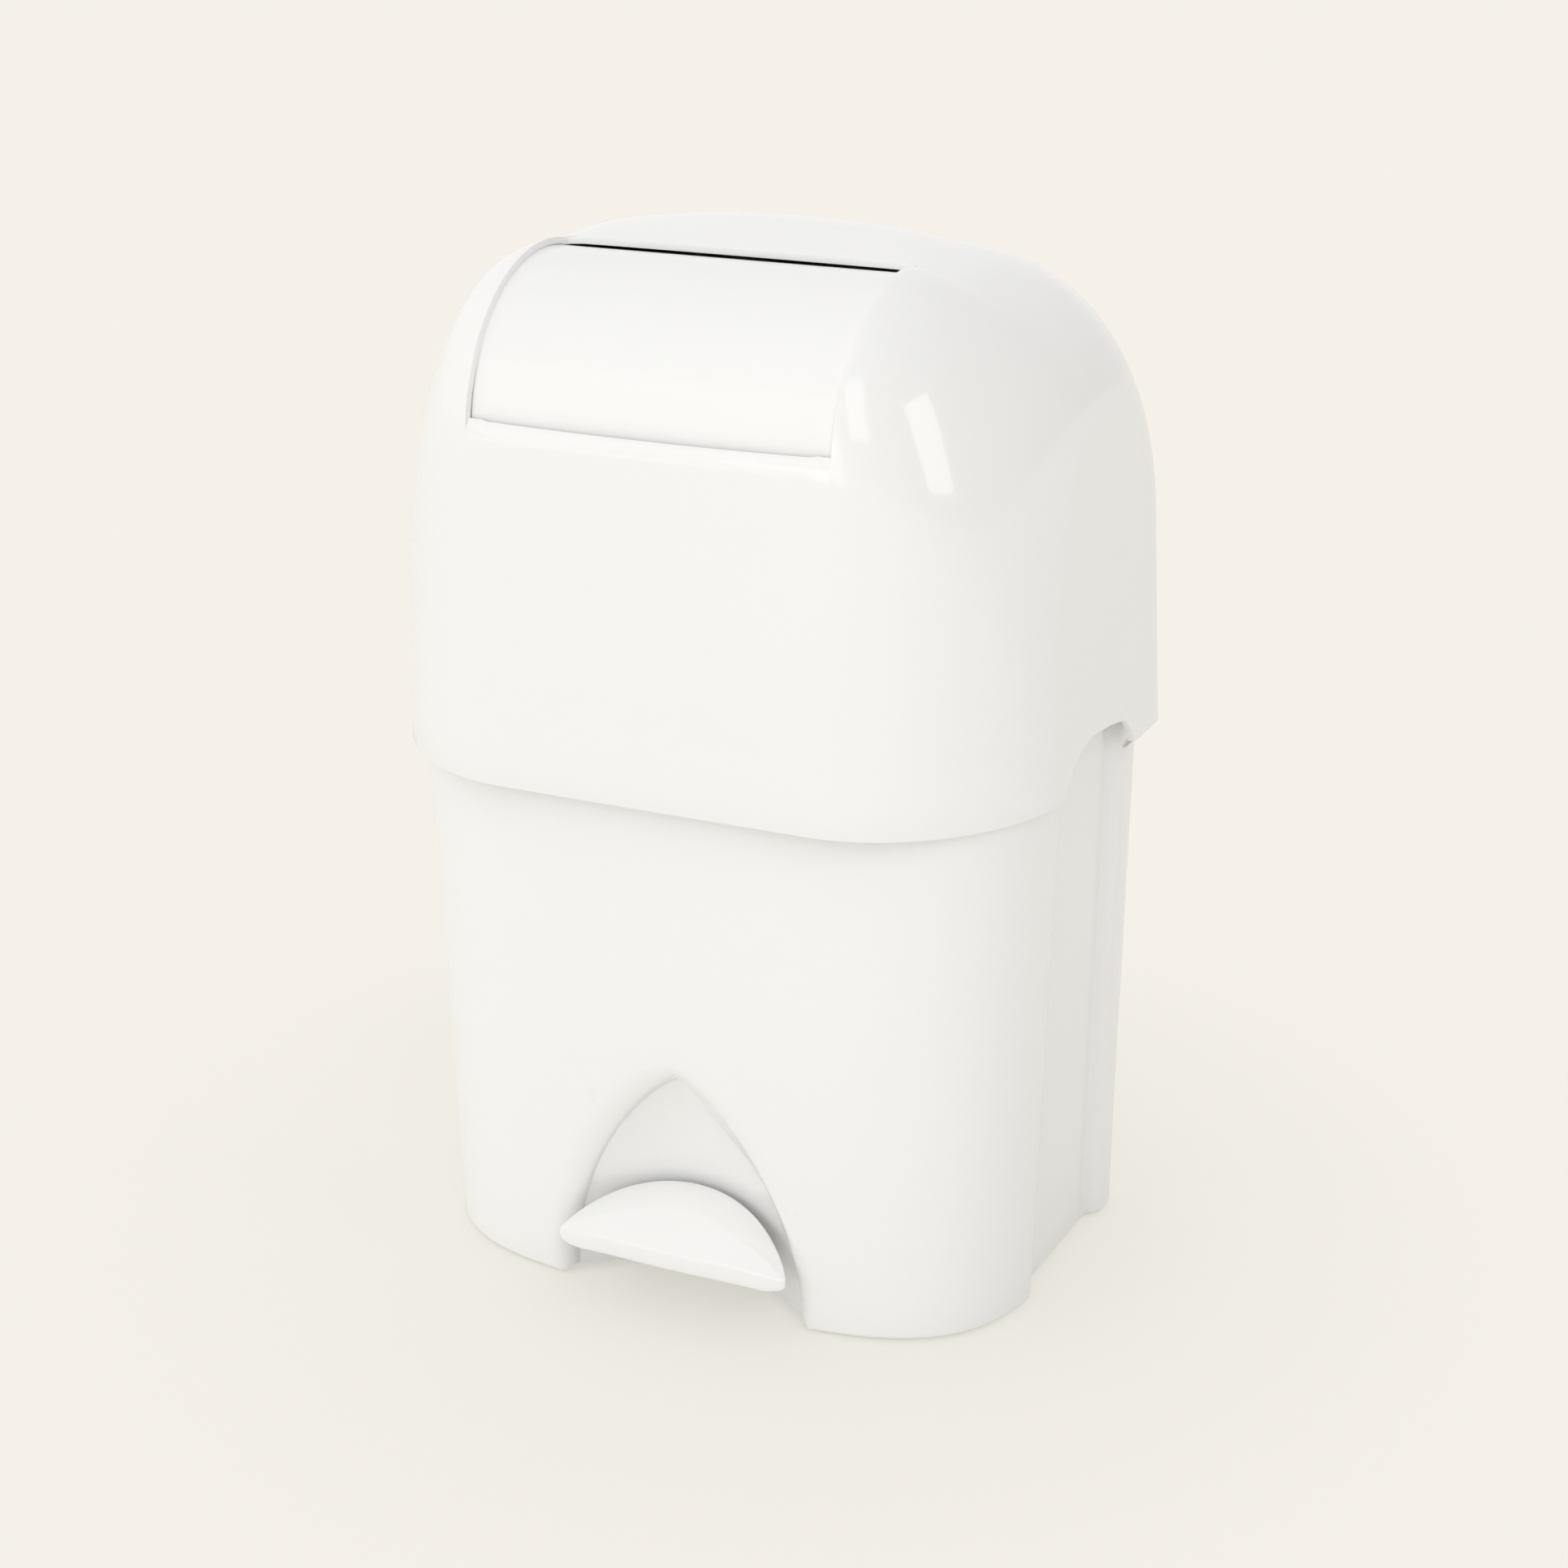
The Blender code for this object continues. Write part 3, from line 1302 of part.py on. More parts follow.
# Cradle
def make_cradle(pivot):
    """The cradle: a tray across the hood's foot with two cheeks that hold the bearings."""
    outer = hood_plan(tray_z, hood_wall + tray_gap)
    low = (-tray_open_half_x, -tray_open_front)
    high = (tray_open_half_x, tray_open_back)
    opening = rounded_box(low, high, tray_open_corner)
    hole = circle((rod_x, rod_y), tray_rod_hole)
    cradle = add_part("cradle", lying_plate_mesh("cradle", [outer, opening, hole], tray_z, tray_thick),
                      inner_plastic, pivot)
    wall = tray_rim_wall
    rim = rounded_box((low[0] - wall, low[1] - wall), (high[0] + wall, high[1] + wall),
                      tray_open_corner + wall)
    join(cradle, lying_plate_mesh("tray_rim", [rim, opening], tray_z + tray_thick / 2.0,
                                  tray_rim + tray_thick / 2.0))
    foot = tray_z + tray_thick / 2.0
    outline = [(cheek_foot_back_y, foot), (cheek_waist_y, cheek_waist_z)]
    outline += arc((idler_y, drum_z), cheek_idler_head, 0.0, 90.0, 5)
    outline += arc((drum_y, drum_z), cheek_head, 80.0, 180.0, 9)
    outline += [(cheek_foot_front_y, foot)]
    bearing_hole = circle((drum_y, drum_z), bearing_radius + fit_gap, 24)
    pin_hole = circle((idler_y, drum_z), idler_pin_radius + fit_gap, 14)
    cheek_out = cheek_x + cheek_thick
    gusset = [(cheek_out - cheek_thick / 2.0, foot), (cheek_out - cheek_thick / 2.0, foot + gusset_height),
              (cheek_x - gusset_reach, foot)]
    for tag, side in SIDES:
        plate = standing_plate_mesh("cheek_" + tag, [outline, bearing_hole, pin_hole], cheek_x, cheek_thick)
        join(cradle, side_mesh(plate, side))
        for number, y in enumerate((gusset_front_y, gusset_back_y)):
            brace = facing_plate_mesh("cheek_gusset_%s_%d" % (tag, number), [gusset], y, gusset_thick)
            join(cradle, side_mesh(brace, side))
        for name, x, y in boss_places():
            cut(cradle, bar_mesh("tray_hole_%s_%s" % (name, tag), (side * x, y, tray_z - cut_over),
                                 (side * x, y, tray_z + cut_over), pilot_radius, 8))
    for number, y in enumerate(rack_screw_places()):
        cut(cradle, bar_mesh("rack_pilot_%d" % number, (cheek_x - cut_over, y, rack_guide_z),
                             (cheek_x + cut_over, y, rack_guide_z), pilot_radius, 8))
    bake(cradle)


# Drum
def shell_outline(start_deg, end_deg, steps):
    """A strip of the drum's wall between two angles."""
    centre = (drum_y, drum_z)
    outline = arc(centre, drum_radius, start_deg, end_deg, steps)
    return outline + arc(centre, drum_radius - drum_wall, end_deg, start_deg, steps)


def boss_centre(angle_deg):
    """The y and z of a drum screw."""
    return arc((drum_y, drum_z), boss_circle, angle_deg, angle_deg, 1)[0]


def make_drum(pivot):
    """The revolving drum: front flap, scoop behind it, and an end disc on each side."""
    disc_inner = drum_half - drum_disc_thick
    pieces = (("drum_flap", flap_start_deg, flap_end_deg, 18, flap_boss_degs),
              ("drum_scoop", scoop_start_deg, scoop_end_deg, 22, scoop_boss_degs))
    for name, start_deg, end_deg, steps, angles in pieces:
        outline = shell_outline(start_deg, end_deg, steps)
        shell = add_part(name, standing_plate_mesh(name, [outline], -drum_half, drum_half * 2.0),
                         white_plastic, pivot)
        high = disc_inner - fit_gap
        for tag, side in SIDES:
            for number, angle in enumerate(angles):
                y, z = boss_centre(angle)
                boss = bar_mesh("%s_boss_%s_%d" % (name, tag, number),
                                (high - drum_boss_length, y, z), (high, y, z), drum_boss_radius, 12)
                join(shell, side_mesh(boss, side))
                pilot = bar_mesh("%s_pilot_%s_%d" % (name, tag, number),
                                 (disc_inner - screw_length, y, z), (drum_half, y, z), pilot_radius, 8)
                cut(shell, side_mesh(pilot, side))
        bake(shell)
    bore = stub_radius + fit_gap
    profile = [(bore, drum_half), (disc_radius, drum_half), (disc_radius, disc_inner),
               (stub_flange, disc_inner), (stub_flange, disc_inner - drum_hub),
               (bore, disc_inner - drum_hub)]
    sink = screw_head_thick + fit_gap
    for tag, side in SIDES:
        place = Matrix.Translation((0.0, drum_y, drum_z)) @ ACROSS
        mesh = turned_mesh("drum_disc_" + tag, profile, 36, place)
        disc = add_part("drum_disc_" + tag, side_mesh(mesh, side), white_plastic, pivot)
        for number, angle in enumerate(flap_boss_degs + scoop_boss_degs):
            y, z = boss_centre(angle)
            hole = bar_mesh("disc_hole_%s_%d" % (tag, number), (disc_inner - cut_over, y, z),
                            (drum_half + cut_over, y, z), pilot_radius, 8)
            cut(disc, side_mesh(hole, side))
            counter = bar_mesh("disc_sink_%s_%d" % (tag, number), (drum_half - sink, y, z),
                               (drum_half + sink, y, z), screw_head + fit_gap, 10)
            cut(disc, side_mesh(counter, side))
        bake(disc)


def make_axles(pivot):
    """The two stub axles; the right one is longer and has a flat for the gear."""
    inner = drum_half + fit_gap
    outer = inner + stub_flange_thick
    spigot = drum_half - drum_disc_thick - drum_hub
    for tag, side in SIDES:
        end = stub_end_left if side < 0.0 else stub_end_right
        profile = [(0.0, end), (stub_radius, end), (stub_radius, outer), (stub_flange, outer),
                   (stub_flange, inner), (stub_radius, inner), (stub_radius, spigot), (0.0, spigot)]
        place = Matrix.Translation((0.0, drum_y, drum_z)) @ ACROSS
        mesh = turned_mesh("drum_axle_" + tag, profile, 18, place)
        axle = add_part("drum_axle_" + tag, side_mesh(mesh, side), inner_plastic, pivot)
        if side > 0.0:
            cut(axle, box_mesh("axle_flat", (stub_flat_x, drum_y - stub_flange, drum_z + stub_flat),
                               (stub_end_right + cut_over, drum_y + stub_flange, drum_z + stub_flange)))
        bake(axle)


def make_bearings(pivot):
    """The two flanged bushes in the cheeks."""
    bore = stub_radius + fit_gap
    flange_out = cheek_x - fit_gap
    inner = flange_out - bearing_flange_thick
    outer = inner + bearing_length
    profile = [(bore, outer), (bearing_radius, outer), (bearing_radius, flange_out),
               (bearing_flange, flange_out), (bearing_flange, inner), (bore, inner)]
    for tag, side in SIDES:
        place = Matrix.Translation((0.0, drum_y, drum_z)) @ ACROSS
        mesh = turned_mesh("drum_bearing_" + tag, profile, 20, place)
        add_part("drum_bearing_" + tag, side_mesh(mesh, side), gear_plastic, pivot)


# Gears and rack
def tooth_half_angle(radius, pitch_radius, teeth):
    """Half the angle that a tooth fills at a radius, from the involute."""
    base = pitch_radius * math.cos(pressure_angle)
    at_pitch = math.pi / (2.0 * teeth) - gear_backlash / (2.0 * pitch_radius)
    slope = math.acos(base / max(base, radius))
    spread = math.tan(pressure_angle) - pressure_angle
    return at_pitch + spread - (math.tan(slope) - slope)


def gear_outline(centre, teeth, first_deg):
    """A spur gear's outline with a tooth centred on an angle."""
    pitch_radius = gear_module * teeth / 2.0
    radii = (pitch_radius - gear_module * dedendum_share, pitch_radius - gear_module / 2.0,
             pitch_radius + gear_module / 3.0, pitch_radius + gear_module)
    points = []
    for tooth in range(teeth):
        middle = math.radians(first_deg) + 2.0 * math.pi * tooth / teeth
        halves = [tooth_half_angle(radius, pitch_radius, teeth) for radius in radii]
        flank = [(radius, middle - half) for radius, half in zip(radii, halves)]
        flank += [(radius, middle + half) for radius, half in zip(reversed(radii), reversed(halves))]
        points += [(centre[0] + radius * math.cos(angle), centre[1] + radius * math.sin(angle))
                   for radius, angle in flank]
    return points


def add_gear(name, centre, teeth, first_deg, hub_radius, hub_start, bore, pivot):
    """A spur gear with a hub on its inner side and a bore through both."""
    outline = gear_outline(centre, teeth, first_deg)
    gear = add_part(name, standing_plate_mesh(name, [outline], gear_inner_x, gear_width),
                    gear_plastic, pivot)
    join(gear, bar_mesh(name + "_hub", (hub_start, *centre),
                        (gear_inner_x + gear_width / 2.0, *centre), hub_radius))
    cut(gear, standing_plate_mesh(name + "_bore", [bore], gear_inner_x - cut_over, cut_over * 2.0))
    bake(gear)


def make_gears(drum_pivot, idler_pivot, hood_pivot):
    """The drum gear, the idler gear and the idler's pin."""
    centre = (drum_y, drum_z)
    radius = stub_radius + fit_gap
    flat_deg = math.degrees(math.asin((stub_flat + fit_gap) / radius))
    keyed = arc(centre, radius, 180.0 - flat_deg, 360.0 + flat_deg, 14)
    bush_end = cheek_x - fit_gap - bearing_flange_thick + bearing_length
    add_gear("drum_gear", centre, drum_teeth, 0.0, gear_hub, bush_end + running_gap, keyed, drum_pivot)

    centre = (idler_y, drum_z)
    add_gear("idler_gear", centre, idler_teeth, 180.0 / idler_teeth, idler_hub,
             cheek_x + cheek_thick + running_gap,
             circle(centre, idler_pin_radius + fit_gap, 12), idler_pivot)
    outer = gear_inner_x + gear_width + running_gap
    head = outer + idler_pin_head_thick
    profile = [(0.0, head), (idler_pin_head, head), (idler_pin_head, outer),
               (idler_pin_radius, outer), (idler_pin_radius, cheek_x), (0.0, cheek_x)]
    place = Matrix.Translation((0.0, idler_y, drum_z)) @ ACROSS
    add_part("idler_pin", turned_mesh("idler_pin", profile, 12, place), bright_steel, hood_pivot)


def make_rack(rack_pivot, hood_pivot):
    """The toothed rack over the push rod, and the guide on the cheek that it slides in."""
    pitch = math.pi * gear_module
    lean = gear_module * math.tan(pressure_angle)
    half = pitch / 4.0 - gear_backlash / 2.0
    tip_y = rack_pitch_y - gear_module
    root_lean = lean * dedendum_share
    back_y = rack_front_y + rack_back
    low = rod_head_z + fit_gap
    top = drum_z + pitch * (rack_teeth_above + 0.5)
    outline = [(back_y, low), (back_y, top), (rack_front_y, top)]
    for number in range(rack_teeth_above, -rack_teeth_below - 1, -1):
        middle = drum_z + pitch * number
        outline += [(rack_front_y, middle + half + root_lean), (tip_y, middle + half - lean),
                    (tip_y, middle - half + lean), (rack_front_y, middle - half - root_lean)]
    outline.append((rack_front_y, low))
    rack = add_part("rack", standing_plate_mesh("rack", [outline], gear_inner_x, gear_width),
                    gear_plastic, rack_pivot)
    stop_z = rack_guide_top_z + fit_gap
    join(rack, box_mesh("rack_stop", (gear_inner_x + gear_module, rack_front_y + gear_module, stop_z),
                        (gear_inner_x + gear_width - gear_module, back_y + rack_stop_proud,
                         stop_z + rack_stop)))
    bake(rack)

    gap = rack_guide_gap
    seat = cheek_x + cheek_thick + fit_gap
    wall = rack_guide_wall
    low_y = rack_front_y - gap - wall
    high_y = back_y + gap + wall
    low_z = rack_guide_z - rack_guide_height / 2.0
    guide = add_part("rack_guide", box_mesh("rack_guide", (seat, low_y, low_z),
                                            (gear_inner_x + gear_width + gap + wall, high_y,
                                             rack_guide_top_z)), gear_plastic, hood_pivot)
    cut(guide, box_mesh("rack_channel", (gear_inner_x - gap, rack_front_y - gap, low_z - cut_over),
                        (gear_inner_x + gear_width + gap, back_y + gap, rack_guide_top_z + cut_over)))
    ear_low = rack_guide_z - rack_ear_height / 2.0
    ear_high = rack_guide_z + rack_ear_height / 2.0
    join(guide, box_mesh("guide_ear_front", (seat, low_y - rack_ear, ear_low),
                         (seat + rack_ear_thick, low_y + wall / 2.0, ear_high)))
    join(guide, box_mesh("guide_ear_back", (seat, high_y - wall / 2.0, ear_low),
                         (seat + rack_ear_thick, high_y + rack_ear, ear_high)))
    for number, y in enumerate(rack_screw_places()):
        cut(guide, bar_mesh("ear_hole_%d" % number, (seat - cut_over, y, rack_guide_z),
                            (seat + cut_over, y, rack_guide_z), pilot_radius, 8))
    bake(guide)


def rack_screw_places():
    """The y of the two screws of the rack guide."""
    reach = rack_guide_gap + rack_guide_wall + rack_ear / 2.0
    return (rack_front_y - reach, rack_front_y + rack_back + reach)


# Screws
def add_screw(name, seat, tip, pivot=None, length=screw_length):
    """A screw with its head on a seat and its tip in a direction."""
    profile = [(0.0, screw_head_thick), (screw_head, screw_head_thick), (screw_head, 0.0),
               (screw_radius, 0.0), (screw_radius, -length), (0.0, -length)]
    turn = (-Vector(tip)).to_track_quat("Z", "Y").to_matrix().to_4x4()
    place = Matrix.Translation(Vector(seat) - Vector(tip) * fit_gap) @ turn
    add_part(name, turned_mesh(name, profile, 8, place), bright_steel, pivot)


def make_screws(hood_pivot, drum_pivot, pedal_pivot):
    """The screws of the cradle, rack guide, drum, saddles, rod guide and pedal pad."""
    up = (0.0, 0.0, 1.0)
    sunk = drum_half - screw_head_thick - fit_gap
    saddle_face = rib_bottom_z - fit_gap - saddle_thick
    corners = (("flap_upper", flap_boss_degs[0]), ("flap_lower", flap_boss_degs[1]),
               ("scoop_front", scoop_boss_degs[0]), ("scoop_back", scoop_boss_degs[1]))
    for tag, side in SIDES:
        inwards = (-side, 0.0, 0.0)
        for name, x, y in boss_places():
            add_screw("cradle_screw_%s_%s" % (name, tag), (side * x, y, tray_z), up, hood_pivot)
        for name, angle in corners:
            add_screw("%s_screw_%s" % (name, tag), (side * sunk, *boss_centre(angle)), inwards,
                      drum_pivot)
        add_screw("saddle_screw_" + tag,
                  (side * (rib_x + rib_thick / 2.0), axle_y + saddle_screw_y, saddle_face), up)
        add_screw("pad_screw_" + tag, (side * pad_boss_x, pad_boss_y, lever_plate_z), up, pedal_pivot)
    seat = guide_seat_x - fit_gap - guide_thick
    face = cheek_x + cheek_thick + fit_gap + rack_ear_thick
    for name, (y, z) in zip(("front", "back"), guide_screw_places()):
        add_screw("rod_guide_screw_" + name, (seat, y, z), (1.0, 0.0, 0.0), None, short_screw_length)
    for name, y in zip(("front", "back"), rack_screw_places()):
        add_screw("rack_guide_screw_" + name, (face, y, rack_guide_z), (-1.0, 0.0, 0.0), hood_pivot)


clear_scene()
parts = new_collection("nappy_bin")
cutters = new_collection("cutters")

hood_pivot = add_pivot("hood_pivot", (0.0, hinge_y, hinge_z))
drum_pivot = add_pivot("drum_pivot", (0.0, drum_y, drum_z), hood_pivot)
idler_pivot = add_pivot("idler_pivot", (0.0, idler_y, drum_z), hood_pivot)
rack_pivot = add_pivot("rack_pivot", (rod_x, rod_y, rod_head_z), hood_pivot)
pedal_pivot = add_pivot("pedal_pivot", (0.0, axle_y, axle_z))
rod_pivot = add_pivot("rod_pivot", (rod_x, rod_y, rod_foot_z))

make_bin_body()
make_feet()
make_axle_and_saddles()
make_pedal(pedal_pivot)
make_lever(pedal_pivot)
make_push_rod(rod_pivot)
make_rod_guides()
make_spring(rod_pivot)
make_rod_cover()
make_bag_ring()
make_hood(hood_pivot)
make_hinge_pins()
make_cradle(hood_pivot)
make_drum(drum_pivot)
make_axles(drum_pivot)
make_bearings(hood_pivot)
make_gears(drum_pivot, idler_pivot, hood_pivot)
make_rack(rack_pivot, hood_pivot)
make_screws(hood_pivot, drum_pivot, pedal_pivot)
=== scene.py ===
# %% [markdown]
# # A nappy bin with a turning drum
#
# The real bin is moulded in glossy white plastic: a tapering lower bin, a rounded hood with a
# window, a drum behind the window and a foot pedal in an arched hollow. This lesson loads the
# solid model as a fixed frame, models the big shells again with fine, smooth surfaces, gives
# every piece a finish of its own, and sets up the light and the camera.

# %% Load the fixed frame
import json
import math

import bmesh
import bpy
from mathutils import Matrix, Vector

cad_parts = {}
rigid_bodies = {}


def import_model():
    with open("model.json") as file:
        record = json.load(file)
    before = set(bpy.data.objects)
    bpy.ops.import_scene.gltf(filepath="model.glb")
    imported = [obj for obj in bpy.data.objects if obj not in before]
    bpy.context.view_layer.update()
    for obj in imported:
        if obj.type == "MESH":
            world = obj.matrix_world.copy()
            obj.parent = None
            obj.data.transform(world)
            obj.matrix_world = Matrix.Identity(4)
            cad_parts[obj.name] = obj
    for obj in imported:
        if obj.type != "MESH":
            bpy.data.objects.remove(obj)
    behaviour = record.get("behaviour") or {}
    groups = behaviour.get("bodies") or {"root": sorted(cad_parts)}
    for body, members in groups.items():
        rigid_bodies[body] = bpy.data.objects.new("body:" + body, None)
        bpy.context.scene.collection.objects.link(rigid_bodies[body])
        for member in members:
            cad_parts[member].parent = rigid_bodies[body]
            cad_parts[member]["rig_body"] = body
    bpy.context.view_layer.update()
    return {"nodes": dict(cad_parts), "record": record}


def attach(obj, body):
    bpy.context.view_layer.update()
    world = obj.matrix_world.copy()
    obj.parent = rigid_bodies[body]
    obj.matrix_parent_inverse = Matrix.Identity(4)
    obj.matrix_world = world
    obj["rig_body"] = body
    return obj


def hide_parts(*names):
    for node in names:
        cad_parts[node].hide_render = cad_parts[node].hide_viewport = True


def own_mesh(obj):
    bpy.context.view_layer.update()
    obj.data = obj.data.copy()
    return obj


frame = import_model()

# %% [markdown]
# ## Shader maths written as Python
#
# A surface pattern is a sum of simple signals. One small class wraps an output socket, so that
# plus, minus and times add the Math nodes. One method adds any other node: its type, then its
# settings, then what goes into its sockets. Materials and the sky's light both use it.

# %% A signal and its wiring
class Signal:
    """An output socket that Python's operators can calculate with."""

    def __init__(self, wiring, socket):
        self.wiring = wiring
        self.socket = socket

    def maths(self, operation, first, second):
        return self.wiring.node("ShaderNodeMath", {"operation": operation}, {0: first, 1: second})

    def __add__(self, other):
        return self.maths("ADD", self, other)

    def __sub__(self, other):
        return self.maths("SUBTRACT", self, other)

    def __mul__(self, other):
        return self.maths("MULTIPLY", self, other)

    def __radd__(self, other):
        return self.maths("ADD", other, self)

    def __rsub__(self, other):
        return self.maths("SUBTRACT", other, self)

    def __rmul__(self, other):
        return self.maths("MULTIPLY", other, self)


class Wiring:
    """A node tree whose sockets take signals or plain values."""

    def __init__(self, tree):
        self.tree = tree

    def node(self, kind, settings=None, inputs=None, output=0):
        made = self.tree.nodes.new(kind)
        for key, value in (settings or {}).items():
            setattr(made, key, value)
        for key, value in (inputs or {}).items():
            self.plug(made.inputs[key], value)
        return Signal(self, made.outputs[output])

    def plug(self, socket, value):
        if isinstance(value, Signal):
            self.tree.links.new(value.socket, socket)
        else:
            socket.default_value = value


print("operators on a signal: + - *")

# %% [markdown]
# ## A finish
#
# A finish is a material of one kind of plastic or metal. What is the same all over goes straight
# onto the shader. What varies comes from noise on the piece's own coordinates, so the pattern
# stays on the piece when it moves: a tint between two colours, an uneven polish, and a relief.

# %% A finish fed by signals
class Finish(Wiring):
    """A material whose shader is fed by signals."""

    def __init__(self, name, **fixed):
        self.material = bpy.data.materials.new(name)
        self.material.use_nodes = True
        super().__init__(self.material.node_tree)
        self.shader = self.tree.nodes["Principled BSDF"]
        for socket, value in fixed.items():
            self.shader.inputs[socket.replace("_", " ")].default_value = value
        self.place = self.node("ShaderNodeTexCoord", output="Object")

    def stretched(self, scale):
        return self.node("ShaderNodeMapping", None, {"Vector": self.place, "Scale": scale})

    def grain(self, scale, detail=2.0, vector=None):
        return self.node("ShaderNodeTexNoise", None,
                         {"Vector": vector or self.place, "Scale": scale, "Detail": detail})

    def tint(self, signal, dark, light):
        mix = self.node("ShaderNodeMix", {"data_type": "RGBA"},
                        {0: signal, 6: (*dark, 1.0), 7: (*light, 1.0)}, 2)
        self.plug(self.shader.inputs["Base Color"], mix)

    def rough(self, signal):
        self.plug(self.shader.inputs["Roughness"], signal)

    def relief(self, height, depth, strength=1.0):
        bump = self.node("ShaderNodeBump", None,
                         {"Height": height, "Distance": depth, "Strength": strength})
        self.plug(self.shader.inputs["Normal"], bump)


print("a finish varies in:", "tint, polish, relief")

# %% [markdown]
# ## Glossy white plastic
#
# The outer shells come from a polished mould. The surface isn't flat white: the polish varies
# a little, very slow waves from the cooling plastic bend the reflections, and a fine grain
# breaks the highlights up. One plain colour with a low roughness would be quicker, but its
# highlights would have edges like cut glass. All of the pattern is faint, because the real
# shells look almost perfect.

# %% Finish of the outer shells
def moulded_plastic(name, dark, light, polish, polish_spread, wave_depth, grain_depth):
    """A moulded plastic with cooling waves, a fine grain and an uneven polish."""
    finish = Finish(name)
    clouds = finish.grain(7.0, detail=3.0)
    handling = finish.grain(31.0, detail=4.0)
    pores = finish.grain(1900.0, detail=1.0)
    waves = finish.grain(16.0, detail=1.0)
    finish.tint(clouds * 0.8 + pores * 0.2, dark, light)
    finish.rough(polish + polish_spread * (handling - 0.5) + 0.03 * pores)
    finish.relief(waves * wave_depth + pores * grain_depth, 1.0)
    return finish.material


gloss_white = moulded_plastic("gloss_white", (0.905, 0.905, 0.900), (0.930, 0.930, 0.926),
                              0.07, 0.05, 0.00012, 0.0000012)
print("made", gloss_white.name)

# %% [markdown]
# ## Satin plastics, gear plastic and rubber
#
# Inner pieces aren't polished: their moulds are spark eroded, which leaves a soft satin grain.
# The gears are a tougher, slightly waxy plastic. The feet are rubber, dull and a bit dusty. Each
# could have nodes of its own, but all are moulded, so the same pattern with another colour,
# polish and depth serves them.

# %% Finishes of the inner pieces
satin_white = moulded_plastic("satin_white", (0.66, 0.67, 0.68), (0.72, 0.73, 0.74),
                              0.36, 0.10, 0.00004, 0.000006)
gear_wax = moulded_plastic("gear_wax", (0.50, 0.52, 0.53), (0.57, 0.59, 0.60),
                           0.42, 0.12, 0.00003, 0.000004)
foot_rubber = moulded_plastic("foot_rubber", (0.035, 0.035, 0.036), (0.075, 0.074, 0.072),
                              0.78, 0.14, 0.00005, 0.000020)
print("made", satin_white.name, gear_wax.name, foot_rubber.name)

# %% [markdown]
# ## Steel
#
# The rod, the axle, the pins and the screws are drawn or turned steel with a thin zinc plating.
# Drawing leaves fine lines along the piece. A wave texture would draw them too evenly, so noise
# is stretched along one axis instead. Plating adds pale, cloudy patches.

# %% Finishes of the steel pieces
def drawn_steel(name, stretch, polish):
    """Zinc-plated steel with drawing lines that run along the stretched axis."""
    finish = Finish(name, Metallic=1.0)
    lines = finish.grain(1.0, detail=3.0, vector=finish.stretched(stretch))
    clouds = finish.grain(60.0)
    finish.tint(clouds * 0.6 + lines * 0.4, (0.50, 0.51, 0.52), (0.68, 0.69, 0.70))
    finish.rough(polish + 0.16 * (lines - 0.5) + 0.08 * clouds)
    finish.relief(lines * 0.000010, 1.0)
    return finish.material


upright_steel = drawn_steel("upright_steel", (2600.0, 2600.0, 40.0), 0.24)
level_steel = drawn_steel("level_steel", (40.0, 2600.0, 2600.0), 0.24)
screw_steel = drawn_steel("screw_steel", (900.0, 900.0, 900.0), 0.30)
print("made", upright_steel.name, level_steel.name, screw_steel.name)

# %% [markdown]
# ## Making a piece
#
# Each piece starts as a bmesh. These helpers turn it into an object that lies at the origin
# with its place in its mesh, bake its modifiers, shade it, and tie it to the body it rides on.
# Modifiers could stay live, but a baked mesh is what the next cut or join has to work on.

# %% Helpers: from a bmesh to a finished piece
def raw_piece(name, bm):
    """An object from a bmesh, in the scene's collection."""
    mesh = bpy.data.meshes.new(name)
    bm.to_mesh(mesh)
    bm.free()
    piece = bpy.data.objects.new(name, mesh)
    bpy.context.scene.collection.objects.link(piece)
    return piece


def shade(mesh, angle_deg):
    """Smooth shading that stays sharp over an angle."""
    mesh.shade_smooth()
    mesh.set_sharp_from_angle(angle=math.radians(angle_deg))


def settle(piece):
    """Bake the modifiers into the mesh."""
    graph = bpy.context.evaluated_depsgraph_get()
    graph.update()
    baked = bpy.data.meshes.new_from_object(piece.evaluated_get(graph))
    piece.modifiers.clear()
    piece.data = baked


def finished(piece, material, slot, body, *nodes, angle_deg=32.0):
    """Shade, paint and mount a piece, which stands for these solids."""
    shade(piece.data, angle_deg)
    piece.data.materials.clear()
    piece.data.materials.append(material)
    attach(piece, body)
    if nodes:
        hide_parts(*nodes)
    return piece


print("helpers for an object, its shading and its mount")

# %% [markdown]
# ## Cuts, edges and walls
#
# A moulding gets its openings by cuts, its thickness by a wall and its soft look by small
# roundings of the edges. All three are modifiers that are baked at once, because that way a
# piece can be cut, thickened and rounded in the order in which a designer would do it.

# %% Helpers: combine, soften and thicken
def combine(piece, tool, operation="DIFFERENCE"):
    """Cut or join one piece with another, which is then taken away."""
    boolean = piece.modifiers.new(tool.name, "BOOLEAN")
    boolean.operation = operation
    boolean.solver = "MANIFOLD"
    boolean.object = tool
    settle(piece)
    bpy.data.objects.remove(tool)


def soften_edges(piece, width, angle_deg=40.0, segments=2):
    """Round the sharp edges by a small bevel."""
    bevel = piece.modifiers.new("edges", "BEVEL")
    bevel.width = width
    bevel.segments = segments
    bevel.limit_method = "ANGLE"
    bevel.angle_limit = math.radians(angle_deg)
    bevel.use_clamp_overlap = True
    settle(piece)


def wall(piece, thickness):
    """Give an open surface its wall, inwards."""
    shell = piece.modifiers.new("wall", "SOLIDIFY")
    shell.thickness = thickness
    shell.offset = -1.0
    shell.use_even_offset = True
    settle(piece)


print("helpers for cuts, edges and walls")

